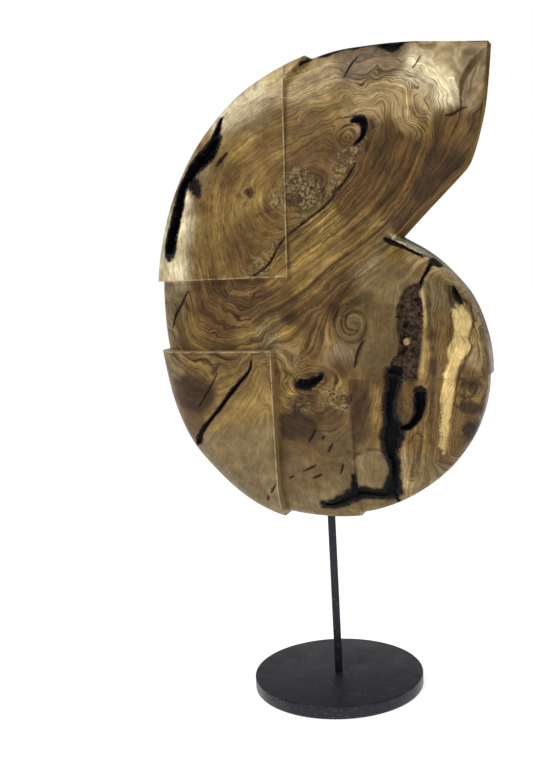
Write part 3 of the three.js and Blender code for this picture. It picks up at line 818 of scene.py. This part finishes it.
# dark veins, and painted shade and a painted highlight along the coil: tone, strength, softness, and the way as
# [x, z, half width]
veins = [
    ("black", 0.75, 1.4, [(129, 476, 0.6), (132, 455, 1.4), (133, 430, 1.0), (134, 410, 1.8),
        (135, 395, 2.8), (134, 378, 2.4), (131, 350, 1.2), (129, 330, 1.6), (128, 300, 0.5)]),
    ("umber", 0.9, 0.8, [(41, 284, 0.5), (52, 291, 0.6), (66, 293, 0.6), (78, 288, 0.7), (84, 276, 0.7),
        (80, 258, 0.6), (68, 245, 0.5)]),
    # painted shade along the coil's groove, here and in the next two
    ("umber", 0.40, 2.2, [(52, 483, 0.3), (39, 464, 1.4), (32.5, 447, 1.2), (30, 432, 1.0), (34, 420, 1.0),
        (45.5, 414, 0.9), (56.5, 416.5, 0.8)]),
    ("umber", 0.40, 0.9, [(56.5, 416.5, 0.6), (63, 425, 0.5), (64.8, 434, 0.3)]),
    ("umber", 0.40, 0.9, [(45, 444, 0.2), (42.6, 436, 0.5), (45, 429.5, 0.5), (50.5, 428, 0.3)]),
    # painted highlight along the top of the coil's inner ridge
    ("pale", 0.40, 0.8, [(46, 442.6, 0.2), (52, 445.2, 0.6), (59, 442.5, 0.7), (61.4, 436, 0.5),
        (60.8, 430, 0.2)]),
    ("black", 0.75, 1.0, [(152, 470, 0.5), (153, 462, 1.0), (155, 452, 1.2), (160, 448, 0.8),
        (166, 455, 0.6), (170, 450, 0.4)]),
    ("umber", 0.85, 1.0, [(164, 372, 0.5), (176, 356, 0.8), (166, 350, 0.8), (160, 356, 0.5)]),
    ("black", 0.70, 1.2, [(168, 322, 0.6), (174, 314, 1.6), (170, 304, 1.0), (162, 300, 0.4)]),
    ("umber", 0.85, 0.9, [(104, 300, 0.4), (112, 312, 0.8), (118, 306, 0.7), (114, 290, 0.8),
        (106, 270, 0.7), (102, 252, 0.4)]),
    ("umber", 0.90, 0.7, [(172, 450, 0.3), (176, 432, 0.6), (172, 415, 0.5), (175, 404, 0.5),
        (168, 392, 0.6), (160, 372, 0.5), (155, 350, 0.6), (155, 340, 0.8), (161, 343, 0.6), (165, 355, 0.6),
        (163, 372, 0.4)]),
    ("black", 0.80, 0.8, [(62, 416, 0.8), (55, 404, 1.2), (50, 388, 0.8)]),
    ("umber", 0.80, 0.7, [(48, 622, 0.4), (58, 614, 0.7), (70, 622, 0.8), (79, 638, 0.8), (74, 650, 0.5)]),
    ("umber", 0.75, 0.7, [(43, 640, 0.4), (40, 630, 0.7), (46, 622, 0.8), (56, 622, 0.7), (61, 630, 0.4)]),
    ("umber", 0.70, 0.8, [(-58, 556, 0.5), (-46, 560, 0.9), (-34, 565, 0.8), (-22, 573, 0.6)]),
    ("umber", 0.70, 1.0, [(-44, 380, 0.5), (-36, 384, 0.8), (-22, 376, 0.6), (-20, 362, 0.8), (-8, 356, 0.8),
        (8, 360, 0.6), (18, 372, 0.6)]),
    ("umber", 0.65, 0.8, [(-40, 350, 0.5), (-26, 344, 0.8), (-14, 332, 0.7), (4, 332, 0.8), (16, 340, 0.6),
        (36, 334, 0.5)]),
    ("umber", 0.60, 1.0, [(128, 618, 0.5), (112, 590, 1.2), (92, 566, 1.4), (66, 546, 1.0), (40, 528, 0.5)]),
    ("umber", 0.60, 1.0, [(98, 600, 0.5), (84, 578, 1.2), (58, 552, 1.0), (28, 530, 0.9), (2, 516, 0.5)]),
    ("umber", 0.60, 1.1, [(96, 546, 0.6), (70, 526, 1.3), (40, 506, 1.2), (8, 480, 1.0), (-20, 458, 0.6)]),
    ("umber", 0.55, 1.0, [(-100, 470, 0.5), (-70, 466, 1.3), (-44, 470, 1.2), (-18, 486, 0.6)]),
]
# how strongly the lines show, where thin closed outlines take over, and where short flecks do:
# x, z, reach, amount
vigourPlaces = [
    (178, 430, 16, 1.0), (40, 520, 55, 1.0), (90, 590, 50, 1.0), (0, 460, 50, 1.0), (-110, 440, 45, 0.9),
    (-80, 560, 50, 0.35), (60, 680, 60, 0.6), (-60, 650, 45, 0.5), (60, 430, 30, 0.1), (85, 480, 26, 0.15),
    (-90, 270, 50, 0.04), (0, 250, 40, 0.1), (150, 400, 40, 0.7), (110, 290, 35, 0.7), (-80, 360, 30, 0.6),
    (60, 270, 16, 0.1), (70, 400, 20, 0.2), (-165, 500, 25, 0.15), (-50, 300, 20, 0.15), (-140, 360, 18, 0.25),
    (0, 350, 35, 0.8),
]
outlinePlaces = [
    (110, 668, 34, 1.0), (60, 675, 26, 0.9), (150, 680, 24, 0.8), (20, 660, 22, 0.6), (-110, 420, 34, 1.0),
    (-100, 390, 18, 0.8), (-70, 455, 26, 0.9), (-125, 462, 22, 0.9), (160, 420, 24, 0.5), (-20, 350, 24, 1.0),
    (25, 352, 16, 1.0), (150, 350, 24, 0.5), (80, 360, 15, 0.3), (40, 520, 60, 0), (-80, 560, 60, 0),
    (60, 430, 40, 0), (0, 450, 40, 0), (-60, 280, 70, 0), (130, 580, 40, 0),
]
fleckPlaces = [
    (-90, 560, 50, 0.8), (-60, 640, 35, 0.6), (-110, 500, 40, 0.75), (-30, 590, 20, 0.7), (60, 700, 30, 0.4),
    (40, 620, 24, 0.5), (60, 430, 40, 0.15), (40, 510, 50, 0.15), (100, 590, 40, 0.2), (-110, 440, 30, 0.25),
    (-90, 280, 60, 0.12), (0, 260, 60, 0.15), (150, 380, 50, 0.35), (0, 350, 30, 0.6), (-160, 520, 14, 0.3),
]
# black bark left along the rim: how wide it is over the top, and two strips lower down as a way and its reach
bark = {
    "topX": [-108, -98, -60, -26, -21, -19, -5, 30, 58, 70, 78, 108, 118, 132],
    "topWide": [0.0, 3.0, 4.5, 7.5, 8.0, 0.8, 3.0, 4.0, 3.0, 1.0, 2.6, 2.6, 1.2, 0.0], "topFrom": 640,
    "strips": [([(-158, 597), (-166, 580), (-171, 563), (-176, 546)], 5),
               ([(-190, 404), (-187, 385), (-183, 366)], 2.5)],
    "soft": 1.2, "stripSoft": 2.0, "loose": 11,         # loose: how far its edge wanders round the rim
    "middle": -10, "halfWide": 9, "middleWander": 7,    # where it lies across the rim
}


# the sawn face across the mouth lies right of and above these, and right of a leaning line
mouthCut = {"right": 92, "above": 522, "lineFrom": 400, "lineLean": 0.55, "deep": 0.8}


def byMouth(x, z):
    leaning = (z - mouthCut["lineFrom"]) * mouthCut["lineLean"]
    return (x > mouthCut["right"]) & (z > mouthCut["above"]) & (x > leaning)


def linear(colour):
    c = np.array(colour, float) / 255
    return np.where(c <= 0.04045, c / 12.92, ((c + 0.055) / 1.055) ** 2.4)


# 1 inside a closed outline, -1 outside
def insideOf(x, z, outline):
    crossings = np.zeros(x.shape, int)
    for (ax, az), (bx, bz) in zip(outline, outline[1:] + outline[:1]):
        if az == bz:
            continue
        spans = (az > z) != (bz > z)
        crossings += spans & (x < (bx - ax) * (z - az) / (bz - az) + ax)
    return np.where(crossings % 2 == 1, 1, -1)


def blendPlaces(x, z, places, usual):
    total, weight = np.full(x.shape, usual * 0.02), np.full(x.shape, 0.02)
    for px, pz, reach, amount in places:
        w = np.exp(-((x - px) ** 2 + (z - pz) ** 2) / reach ** 2)
        total += w * amount
        weight += w
    return total / weight


def blendTones(x, z):
    tint = np.zeros((len(x), 3)) + linear(woodTones["honey"]) * 0.02
    weight = np.full(len(x), 0.02)
    for name, spots in tonePlaces.items():
        colour = linear(woodTones[name])
        for px, pz, reach in spots:
            w = np.exp(-((x - px) ** 2 + (z - pz) ** 2) / reach ** 2) * (26 / reach) ** 0.7
            tint += w[:, None] * colour
            weight += w
    return tint / weight[:, None]


# lays the patches and veins over the blended tones; front is 0 on the back
def layMarks(places, front, tint, vigour):
    x, z = places[:, 0], places[:, 2]
    frayX, frayZ = (line + 1.2 * softNoise(places, 0.16, seed) + 0.5 * softNoise(places, 0.45, seed + 2)
                    for line, seed in ((x, 41), (z, 42)))
    for name, strength, soft, outline in patches:
        gap = pathDistance(frayX, frayZ, np.array(outline + outline[:1], float))[0]
        cover = np.clip(0.5 + insideOf(frayX, frayZ, outline) * gap / (2 * soft), 0, 1) * strength * front
        tint += (linear(woodTones[name]) - tint) * cover[:, None]
        if name == "straw":
            vigour = vigour * (1 - 0.75 * cover)
    patchy = np.clip(0.85 + 0.9 * softNoise(places, 0.11, 45), 0.15, 1)
    for name, strength, soft, line in veins:
        gap, half = stripDistance(frayX * 0.6 + x * 0.4, frayZ * 0.6 + z * 0.4, line)
        cover = np.exp(-(np.maximum(gap - half, 0) / soft) ** 2) * strength * front
        cover *= np.where(soft > 1.1, patchy, 1)
        tint += (linear(woodTones[name]) - tint) * cover[:, None]
    return tint, vigour


charReach = 22                                          # no char farther than this from a hollow


# how charred the wood is round the hollows, from 0 to 1
def hollowChar(x, z, rear, front):
    char = np.zeros(len(x))
    for side, share, group in ((~rear, front, hollows), (rear, 1 - front, rearHollows)):
        for hollow in group:
            way = smoothPath(hollow["way"], 40)
            near = side & (x > way[:, 0].min() - charReach) & (x < way[:, 0].max() + charReach)
            near &= (z > way[:, 1].min() - charReach) & (z < way[:, 1].max() + charReach)
            if not near.any():
                continue
            gap, half = stripDistance(x[near], z[near], hollow["way"])
            fall = np.exp(-(np.maximum(gap - half, 0) / hollow["fade"]) ** 2) * hollow["char"]
            fall *= z[near] > hollow.get("above", 0)
            fall *= share[near]
            char[near] = np.maximum(char[near], fall)
    return char


def barkAmount(places, inset):
    x, y, z = places.T
    rimUpper = nearestEdge(x, z, *levelRings["upper"])[0]
    rimIn = np.where((x < upperBlock["right"]) & (z > upperBlock["bottom"]), rimUpper, inset)
    loose = bark["loose"] * np.clip((y + 13) / 10, 0, 1)                   # nothing on the face
    barkX, barkZ = x + loose * softNoise(places, 0.055, 35), z + loose * softNoise(places, 0.055, 36)
    wide = np.interp(barkX, bark["topX"], bark["topWide"]) * (z > bark["topFrom"])
    wide *= 1 + 0.5 * softNoise(places, 0.12, 33)
    amount = np.clip((wide - rimIn) / bark["soft"] + 0.5, 0, 1) * (wide > 0.2)
    for line, reach in bark["strips"]:
        gap = pathDistance(barkX, barkZ, smoothPath(line, 24))[0]
        amount = np.maximum(amount, np.exp(-(np.maximum(gap - reach, 0) / bark["stripSoft"]) ** 2))
    acrossRim = (y - bark["middle"] + bark["middleWander"] * softNoise(places, 0.05, 37)) / bark["halfWide"]
    amount *= np.clip(1.3 - acrossRim ** 2 + 1.3 * softNoise(places, 0.1, 34), 0, 1)
    return amount * np.clip(0.92 + 0.4 * softNoise(places, 0.18, 31), 0, 1)


# how far each point lies under the finished face, for the insides of the hollows
def depthBelow(x, y, z, inset, char):
    below = np.clip(surfaceDepth(x, z) - np.abs(y), 0, 60) * (inset > 1.5)
    onStep = (np.abs(x - upperBlock["right"]) < 1.5) | (np.abs(z - upperBlock["bottom"]) < 1.5)
    onStep |= (np.abs(z - lowerBlock["top"]) < 1.5) | (np.abs(x - lowerRight(z)) < 5)
    onStep |= (np.abs(z - sunkBlock["top"]) < 1.5) | (np.abs(x - sunkBlock["left"]) < 1.5)
    return below * (~onStep | (char > 0.6))


# how far the lines wander, how they lean round the rim, and how they shift with depth
figureForm = {"wander": 2.5, "outlineWander": 8.5, "leanX": -0.22, "leanZ": 0.38, "perDepth": 0.16,
              "toneWander": 0.6, "toneLeanX": -0.2, "toneLeanZ": 0.5,
              "usualVigour": 0.6, "usualOutlines": 0.0, "usualFlecks": 0.3}


# works out the wood's figure, tone and damage at every point of the carving
def paintWood(body):
    places = readPoints(body) / mm
    x, y, z = places.T
    rear = y > 2
    front = np.clip((3 - y + 5 * softNoise(places, 0.06, 51)) / 6, 0, 1)   # the face's marks end on the rim
    inset, band = nearestEdge(x, z, *levelRings["ground"])
    across = np.clip(y + band, 0, 2 * band)                                # the figure leans round the rim

    form = figureForm
    vigour = blendPlaces(x, z, vigourPlaces, form["usualVigour"])
    outlines = blendPlaces(x, z, outlinePlaces, form["usualOutlines"])
    flecks = blendPlaces(x, z, fleckPlaces, form["usualFlecks"])
    wander = form["wander"] + form["outlineWander"] * outlines
    wx, wz = (wander * (softNoise(places, 0.035, seed) + 0.45 * softNoise(places, 0.09, seed + 1))
              for seed in (21, 23))
    lookX = x + wx + form["leanX"] * across
    lookZ = z + wz + form["leanZ"] * across
    figure = sampleField(solveFigure(), lookX, lookZ)
    for ex, ez, reach, strength in eyes:
        figure += strength * np.exp(-(np.hypot(lookX - ex, lookZ - ez) / reach) ** 2)
    figure += form["perDepth"] * (np.abs(y) - surfaceDepth(x, z))

    tint = blendTones(x + wx * form["toneWander"] + form["toneLeanX"] * across,
                      z + wz * form["toneWander"] + form["toneLeanZ"] * across)
    tint, vigour = layMarks(places, front, tint, vigour)
    tint[(inset < mouthCut["deep"]) & byMouth(x, z)] = linear(woodTones["honey"]) * 0.75

    char = np.maximum(hollowChar(x, z, rear, front), barkAmount(places, inset))
    lip = (inset < 2.2) & (x > 90) & (x < 130) & (z > 486) & (z < 527) & ~rear
    lip &= (x - 94) * 0.62 + (z - 524) < 3
    tint[lip] = linear(woodTones["cream"]) * 0.85
    char[lip] *= 0.15
    below = depthBelow(x, y, z, inset, char)

    def keep(name, kind, field, values):
        slot = body.data.attributes.new(name, kind, "POINT")
        slot.data.foreach_set(field, np.ascontiguousarray(values, dtype=np.float32).ravel())

    traits = [vigour, outlines, burlAmount(x, z) * ~rear, np.clip(char, 0, 1)]
    keep("figure", "FLOAT", "value", figure)
    keep("tint", "FLOAT_COLOR", "color", np.column_stack([tint, np.ones(len(x))]))
    keep("traits", "FLOAT_COLOR", "color", np.column_stack(traits))
    keep("below", "FLOAT", "value", below)
    keep("flecks", "FLOAT", "value", flecks)


paintWood(nautilus)
print("wood painted")


# short hand for adding and joining shader nodes
class Wiring:
    def __init__(self, name):
        self.material = bpy.data.materials.new(name)
        self.material.use_nodes = True
        self.tree = self.material.node_tree
        self.skin = self.tree.nodes["Principled BSDF"]

    def add(self, kind, **settings):
        made = self.tree.nodes.new(kind)
        for key, value in settings.items():
            setattr(made, key, value)
        return made

    def plug(self, source, target):
        self.tree.links.new(source, target)

    # joins a socket, or sets a number or a colour
    def put(self, value, target):
        if hasattr(value, "links"):
            self.plug(value, target)
        else:
            target.default_value = value + (1,) if isinstance(value, tuple) else value

    def calc(self, operation, *values, clamp=False):
        made = self.add("ShaderNodeMath", operation=operation, use_clamp=clamp)
        for socket, value in zip(made.inputs, values):
            self.put(value, socket)
        return made.outputs[0]

    def times(self, first, second, clamp=False):
        return self.calc("MULTIPLY", first, second, clamp=clamp)

    def plus(self, first, second, clamp=False):
        return self.calc("ADD", first, second, clamp=clamp)

    def most(self, first, second):
        return self.calc("MAXIMUM", first, second)

    # how far a value is from a level
    def gap(self, value, level):
        return self.calc("ABSOLUTE", self.calc("SUBTRACT", value, level))

    def band(self, value, low, high, start=0.0, end=1.0):
        made = self.add("ShaderNodeMapRange", interpolation_type="SMOOTHSTEP")
        self.plug(value, made.inputs["Value"])
        for key, number in (("From Min", low), ("From Max", high), ("To Min", start), ("To Max", end)):
            made.inputs[key].default_value = number
        return made.outputs["Result"]

    def mix(self, factor, first, second, blend="MIX"):
        made = self.add("ShaderNodeMix", data_type="RGBA", blend_type=blend)
        for socket, value in zip((made.inputs[0], made.inputs[6], made.inputs[7]), (factor, first, second)):
            self.put(value, socket)
        return made.outputs[2]

    # the colour times a tone
    def toned(self, colour, tone):
        return self.mix(1.0, colour, tone, "MULTIPLY")

    # the colour, times a tone where factor is 1
    def tonedWhere(self, factor, colour, tone):
        return self.mix(factor, colour, self.toned(colour, tone))

    # the colour, lightened and darkened by a noise
    def varied(self, colour, value, dark, light):
        return self.toned(colour, self.mix(self.band(value, 0.35, 0.65), dark, light))

    def noise(self, vector, scale, detail=3.0, roughness=0.5):
        made = self.add("ShaderNodeTexNoise")
        self.plug(vector, made.inputs["Vector"])
        for key, number in (("Scale", scale), ("Detail", detail), ("Roughness", roughness)):
            made.inputs[key].default_value = number
        return made.outputs["Fac"]

    def attribute(self, name, output="Fac"):
        return self.add("ShaderNodeAttribute", attribute_name=name).outputs[output]

    def split(self, vector):
        made = self.add("ShaderNodeSeparateXYZ")
        self.plug(vector, made.inputs[0])
        return made.outputs

    def join(self, *values):
        made = self.add("ShaderNodeCombineXYZ")
        for socket, value in zip(made.inputs, values):
            self.put(value, socket)
        return made.outputs[0]

    def finish(self, colour, shine, height, strength, distance):
        self.plug(colour, self.skin.inputs["Base Color"])
        self.skin.inputs["Specular IOR Level"].default_value = shine
        bump = self.add("ShaderNodeBump")
        bump.inputs["Strength"].default_value = strength
        bump.inputs["Distance"].default_value = distance
        self.plug(height, bump.inputs["Height"])
        self.plug(bump.outputs[0], self.skin.inputs["Normal"])
        return self.material


# painted highlights: the blocks' arrises and the lower block's top ledge are lightened as if they caught the
# light, and walls facing +X are lightened as painted light; how much of each, from 0 to 1
def paintedEdgeLight(w, place, mottle):
    facing = w.split(w.add("ShaderNodeTexCoord").outputs["Normal"])
    axes = w.split(place)
    acrossX, upZ = w.times(axes[0], 1000), w.times(axes[2], 1000)
    upper, lower = upperBlock, lowerBlock
    arrisHighlight = w.times(w.band(w.gap(w.plus(acrossX, 0.9), upper["right"]), 1.0, 0.3),
                    w.band(upZ, upper["bottom"], upper["bottom"] + 0.5))
    arrisHighlight = w.times(arrisHighlight, w.band(upZ, upper["flareFrom"], upper["flareFrom"] - 6))
    bottomEdge = w.times(w.band(w.gap(upZ, upper["bottom"] + 0.8), 1.0, 0.3),
                         w.band(acrossX, upper["right"] + 0.3, upper["right"]))
    lowerEnd = lower["right"] + lower["slant"]
    topEdge = w.times(w.band(w.gap(upZ, lower["top"] - 0.8), 1.0, 0.4),
                      w.band(acrossX, lowerEnd + 0.3, lowerEnd))
    leanX = w.plus(w.times(upZ, 2 * lower["slant"] / lower["top"]), lower["right"] - lower["slant"] - 0.9)
    lowerEdge = w.times(w.band(w.gap(acrossX, leanX), 1.0, 0.3), w.band(upZ, lower["top"] + 0.5, lower["top"]))
    for edge in (bottomEdge, topEdge, lowerEdge):
        arrisHighlight = w.most(arrisHighlight, edge)
    arrisHighlight = w.times(arrisHighlight, w.band(facing[1], -0.2, -0.5))
    # walls facing +X, to be lightened as painted light
    wall = w.times(w.band(facing[0], 0.80, 0.92), w.band(w.calc("ABSOLUTE", acrossX), 64, 60))
    ledgeHighlight = w.times(w.band(facing[2], 0.80, 0.92), w.band(w.gap(upZ, lower["top"]), 4, 2))
    return w.most(w.times(arrisHighlight, w.band(mottle, 0.3, 0.6, 0.15, 0.85)), ledgeHighlight), wall


def oliveWood(name, shine, leastRough):
    w = Wiring(name)
    place = w.add("ShaderNodeTexCoord").outputs["Object"]
    axes = w.split(place)
    figure = w.attribute("figure")
    traits = w.add("ShaderNodeAttribute", attribute_name="traits")
    parts = w.add("ShaderNodeSeparateColor")
    w.plug(traits.outputs["Color"], parts.inputs[0])
    vigour, outline, rough = parts.outputs
    char = traits.outputs["Alpha"]

    # coordinates that run across the grain quickly and along it slowly, or a little faster for short marks
    across = w.join(figure, w.times(axes[0], 26), w.times(axes[2], 26))
    short = w.join(figure, w.times(axes[0], 190), w.times(axes[2], 190))
    broad = w.noise(across, 0.075, 2, 0.5)
    middle = w.noise(across, 0.22, 3, 0.6)
    fine = w.noise(across, 0.8, 3, 0.6)

    # each growth band darkens slowly, then ends in a sharp line
    cycle = w.plus(w.times(figure, 0.125), w.times(w.noise(across, 0.06, 2, 0.5), 3.6))
    cycle = w.calc("FRACT", w.plus(cycle, w.times(w.noise(place, 22, 2, 0.5), 1.1)))
    ending = w.times(w.calc("POWER", cycle, 2.6), w.band(w.noise(across, 0.045, 1, 0.5), 0.32, 0.58))
    streak = w.plus(w.times(broad, 0.5), w.times(middle, 0.5))
    shade = w.times(w.most(w.times(w.band(streak, 0.49, 0.59), 0.8), ending), vigour, clamp=True)
    glow = w.times(w.band(streak, 0.495, 0.39), vigour)
    colour = w.tonedWhere(w.times(shade, 0.95), w.attribute("tint", "Color"), (0.36, 0.29, 0.20))
    colour = w.tonedWhere(w.times(glow, 0.8), colour, (1.75, 1.78, 1.62))

    # thin dark edges that the growth lines leave, and the closed outlines where the figure is calm
    thin = w.times(w.band(w.gap(middle, 0.5), 0.022, 0.006), w.band(w.noise(short, 0.12, 2, 0.5), 0.36, 0.52))
    edgeTwo = w.band(w.gap(w.noise(across, 0.09, 2, 0.45), 0.47), 0.010, 0.004)
    edgeThree = w.band(w.gap(w.noise(across, 0.12, 1, 0.4), 0.55), 0.009, 0.0035)
    closed = w.times(w.most(edgeTwo, edgeThree), w.plus(outline, w.times(vigour, 0.35)), clamp=True)
    lines = w.most(w.times(thin, vigour, clamp=True), closed)
    colour = w.tonedWhere(lines, colour, (0.26, 0.19, 0.12))

    # short flecks along the grain, where the figure breaks up
    flecks = w.attribute("flecks")
    fleck = w.noise(short, 0.36, 4, 0.62)
    colour = w.tonedWhere(w.times(w.band(fleck, 0.50, 0.64), flecks), colour, (0.52, 0.47, 0.39))
    colour = w.tonedWhere(w.times(w.band(fleck, 0.44, 0.32), flecks), colour, (1.35, 1.33, 1.25))

    # fine grain, mottling and slow variation
    grained = w.varied(colour, fine, (0.78, 0.76, 0.72), (1.19, 1.20, 1.20))
    colour = w.mix(w.plus(w.times(vigour, 0.7), 0.3), colour, grained)
    colour = w.varied(colour, w.noise(across, 2.6, 2, 0.6), (0.88, 0.88, 0.88), (1.11, 1.11, 1.11))
    colour = w.varied(colour, w.noise(place, 28, 4, 0.6), (0.80, 0.78, 0.74), (1.16, 1.16, 1.16))
    mottle = w.noise(place, 120, 3, 0.6)
    colour = w.varied(colour, mottle, (0.84, 0.82, 0.79), (1.12, 1.12, 1.12))
    arrisHighlight, wall = paintedEdgeLight(w, place, mottle)
    # painted highlight on the arrises and the up-facing ledge, then painted light on walls facing +X
    colour = w.mix(w.times(arrisHighlight, 0.62), colour, (0.50, 0.40, 0.23))
    colour = w.mix(w.times(wall, 0.5), colour, (0.27, 0.19, 0.095))

    # burl: speckled gold and umber
    speck = w.noise(place, 330, 4, 0.65)
    burlTone = w.mix(w.band(speck, 0.42, 0.62), (0.055, 0.032, 0.012), (0.28, 0.20, 0.08))
    broken = w.times(rough, w.band(w.noise(place, 110, 3, 0.6), 0.34, 0.54), clamp=True)
    colour = w.mix(broken, colour, burlTone)

    # char, the scorched wood round it, and the hollows' insides, rotten brown where they are less charred
    soot = w.noise(place, 420, 4, 0.7)
    sootTone = w.mix(w.band(soot, 0.54, 0.78), (0.0035, 0.0033, 0.0036), (0.034, 0.027, 0.020))
    inside = w.times(w.band(w.attribute("below"), 0.4, 2.2), w.band(char, 0.12, 0.6))
    ragged = w.times(w.calc("SUBTRACT", w.noise(place, 150, 5, 0.7), 0.5), 2.6)
    frayed = w.times(char, w.plus(ragged, 1.0))
    burnt = w.band(frayed, 0.48, 0.72)
    rotten = w.times(w.band(char, 0.95, 0.74), w.band(w.noise(place, 75, 4, 0.6), 0.34, 0.48))
    rottenMottle = w.band(w.noise(place, 240, 3, 0.6), 0.4, 0.6)
    rottenTone = w.mix(rottenMottle, (0.050, 0.030, 0.018), (0.140, 0.092, 0.058))
    colour = w.tonedWhere(w.times(w.band(frayed, 0.10, 0.45), 0.75), colour, (0.22, 0.15, 0.10))
    colour = w.mix(burnt, colour, sootTone)
    colour = w.mix(inside, colour, w.mix(rotten, sootTone, rottenTone))

    charred = w.most(inside, burnt)
    dull = w.times(w.most(charred, w.times(rough, 0.5)), 0.4)
    gloss = w.plus(w.band(fine, 0.3, 0.7, 0.30, 0.42), dull, clamp=True)
    w.plug(w.most(gloss, leastRough), w.skin.inputs["Roughness"])
    height = w.plus(w.times(fine, 0.35), w.times(lines, -0.5))
    height = w.plus(height, w.times(w.times(speck, rough), 3.0))
    height = w.plus(height, w.times(w.times(soot, charred), 4.0))
    return w.finish(colour, shine, height, 0.5, 0.0006)


nautilus.data.materials.clear()
nautilus.data.materials.append(oliveWood("oiledOliveWood", 0.18, 0.0))
nautilus.data.materials.append(oliveWood("sawnOliveWood", 0.03, 0.85))
for face in nautilus.data.polygons:
    middle = face.center / mm
    onCut = byMouth(middle.x, middle.z) and face.normal.x > 0.5
    face.material_index = 1 if onCut and abs(face.normal.y) < 0.5 else 0
isActive(nautilus)
bpy.ops.object.shade_smooth_by_angle(angle=math.radians(carving["smoothUnder"]))
nautilus.name = "nautilusCarving"
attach(nautilus, "root")
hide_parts("nautilus_body")
print("carving finished")


# black steel stand and the peg in the pocket
stand = {"discEdge": 1.6, "discSides": 192, "barSoft": 0.7, "softSteps": 3}
peg = {"sides": 40, "dome": 2.4, "domeSteps": 6}
smoothUnder = math.radians(40)


# applies the piece's place to its mesh and hands it over
def settle(piece, cadName):
    isActive(piece)
    bpy.ops.object.transform_apply(location=True, rotation=True, scale=True)
    bpy.ops.object.shade_smooth_by_angle(angle=smoothUnder)
    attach(piece, "root")
    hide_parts(cadName)


def blackSteel():
    w = Wiring("blackPaintedSteel")
    place = w.add("ShaderNodeTexCoord").outputs["Object"]
    cloud = w.noise(place, 24, 4, 0.6)
    dust = w.noise(place, 260, 5, 0.75)
    stretched = w.add("ShaderNodeMapping")
    stretched.inputs["Rotation"].default_value = (0, 0, 0.6)
    stretched.inputs["Scale"].default_value = (40, 900, 300)
    w.plug(place, stretched.inputs[0])
    scratch = w.noise(stretched.outputs[0], 1.0, 2, 0.5)
    tone = w.mix(w.band(cloud, 0.35, 0.65), (0.0072, 0.0072, 0.0105), (0.0125, 0.0122, 0.0170))
    tone = w.mix(w.times(w.band(dust, 0.58, 0.66), 0.85), tone, (0.085, 0.087, 0.100))
    tone = w.mix(w.times(w.band(scratch, 0.62, 0.72), 0.7), tone, (0.060, 0.062, 0.072))
    w.skin.inputs["Specular Tint"].default_value = (0.84, 0.88, 1.0, 1)
    w.plug(w.band(cloud, 0.3, 0.7, 0.28, 0.46), w.skin.inputs["Roughness"])
    height = w.plus(w.noise(place, 900, 2, 0.5), w.times(dust, 0.6))
    return w.finish(tone, 0.3, height, 0.35, 0.00025)


def soften(piece, wide, segments):
    step = piece.modifiers.new("soften", "BEVEL")
    step.width = wide * mm
    step.segments = segments
    step.limit_method = "ANGLE"
    step.angle_limit = smoothUnder
    isActive(piece)
    bpy.ops.object.modifier_apply(modifier=step.name)


discLow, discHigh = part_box("stand_base")
bpy.ops.object.select_all(action="DESELECT")
bpy.ops.mesh.primitive_cylinder_add(vertices=stand["discSides"], radius=(discHigh.x - discLow.x) / 2,
                                    depth=discHigh.z - discLow.z, location=(discLow + discHigh) / 2)
disc = bpy.context.object
disc.name = "standDisc"
soften(disc, stand["discEdge"], stand["softSteps"])
steel = blackSteel()
disc.data.materials.append(steel)
settle(disc, "stand_base")

bpy.ops.object.select_all(action="DESELECT")
bpy.ops.mesh.primitive_cube_add(size=1, location=(0, 0, (barLow.z + barHigh.z) / 2), rotation=(0, 0, barTurn),
                                scale=(barWide, barWide, barHigh.z - barLow.z))
bar = bpy.context.object
bar.name = "standBar"
isActive(bar)
bpy.ops.object.transform_apply(location=False, rotation=False, scale=True)
soften(bar, stand["barSoft"], stand["softSteps"])
bar.data.materials.append(steel)
settle(bar, "stand_bar")


# end grain: rings round a heart a little off the middle
def pegWood():
    w = Wiring("palePegWood")
    place = w.add("ShaderNodeTexCoord").outputs["Object"]
    moved = w.add("ShaderNodeMapping")
    moved.inputs["Location"].default_value = (-pegMiddle.x - 0.0012, 0, -pegMiddle.z + 0.0007)
    w.plug(place, moved.inputs[0])
    axes = w.split(moved.outputs[0])
    away = w.calc("SQRT", w.plus(w.calc("POWER", w.calc("ABSOLUTE", axes[0]), 2.0),
                                 w.calc("POWER", w.calc("ABSOLUTE", axes[2]), 2.0)))
    rings = w.calc("SINE", w.plus(w.times(away, 6500), w.times(w.noise(place, 500, 3, 0.5), 5)))
    grain = w.noise(place, 1800, 3, 0.6)
    tone = w.mix(w.band(rings, -0.2, 0.9), (0.42, 0.30, 0.13), (0.27, 0.17, 0.065))
    tone = w.mix(w.band(grain, 0.5, 0.72), tone, (0.15, 0.085, 0.03))
    w.skin.inputs["Roughness"].default_value = 0.45
    return w.finish(tone, 0.3, grain, 0.4, 0.0002)


bpy.ops.object.select_all(action="DESELECT")
bpy.ops.mesh.primitive_cylinder_add(vertices=peg["sides"], radius=(pegHigh.x - pegLow.x) / 2,
                                    depth=pegHigh.y - pegLow.y, location=pegMiddle,
                                    rotation=(math.radians(90), 0, 0))
pegPiece = bpy.context.object
pegPiece.name = "pocketPeg"
soften(pegPiece, peg["dome"], peg["domeSteps"])
pegPiece.data.materials.append(pegWood())
settle(pegPiece, "pocket_peg")
print("stand and peg made")

for thing in (nautilus, disc, bar, pegPiece):
    thing.data.calc_loop_triangles()
    print(thing.name, len(thing.data.loop_triangles), "triangles")
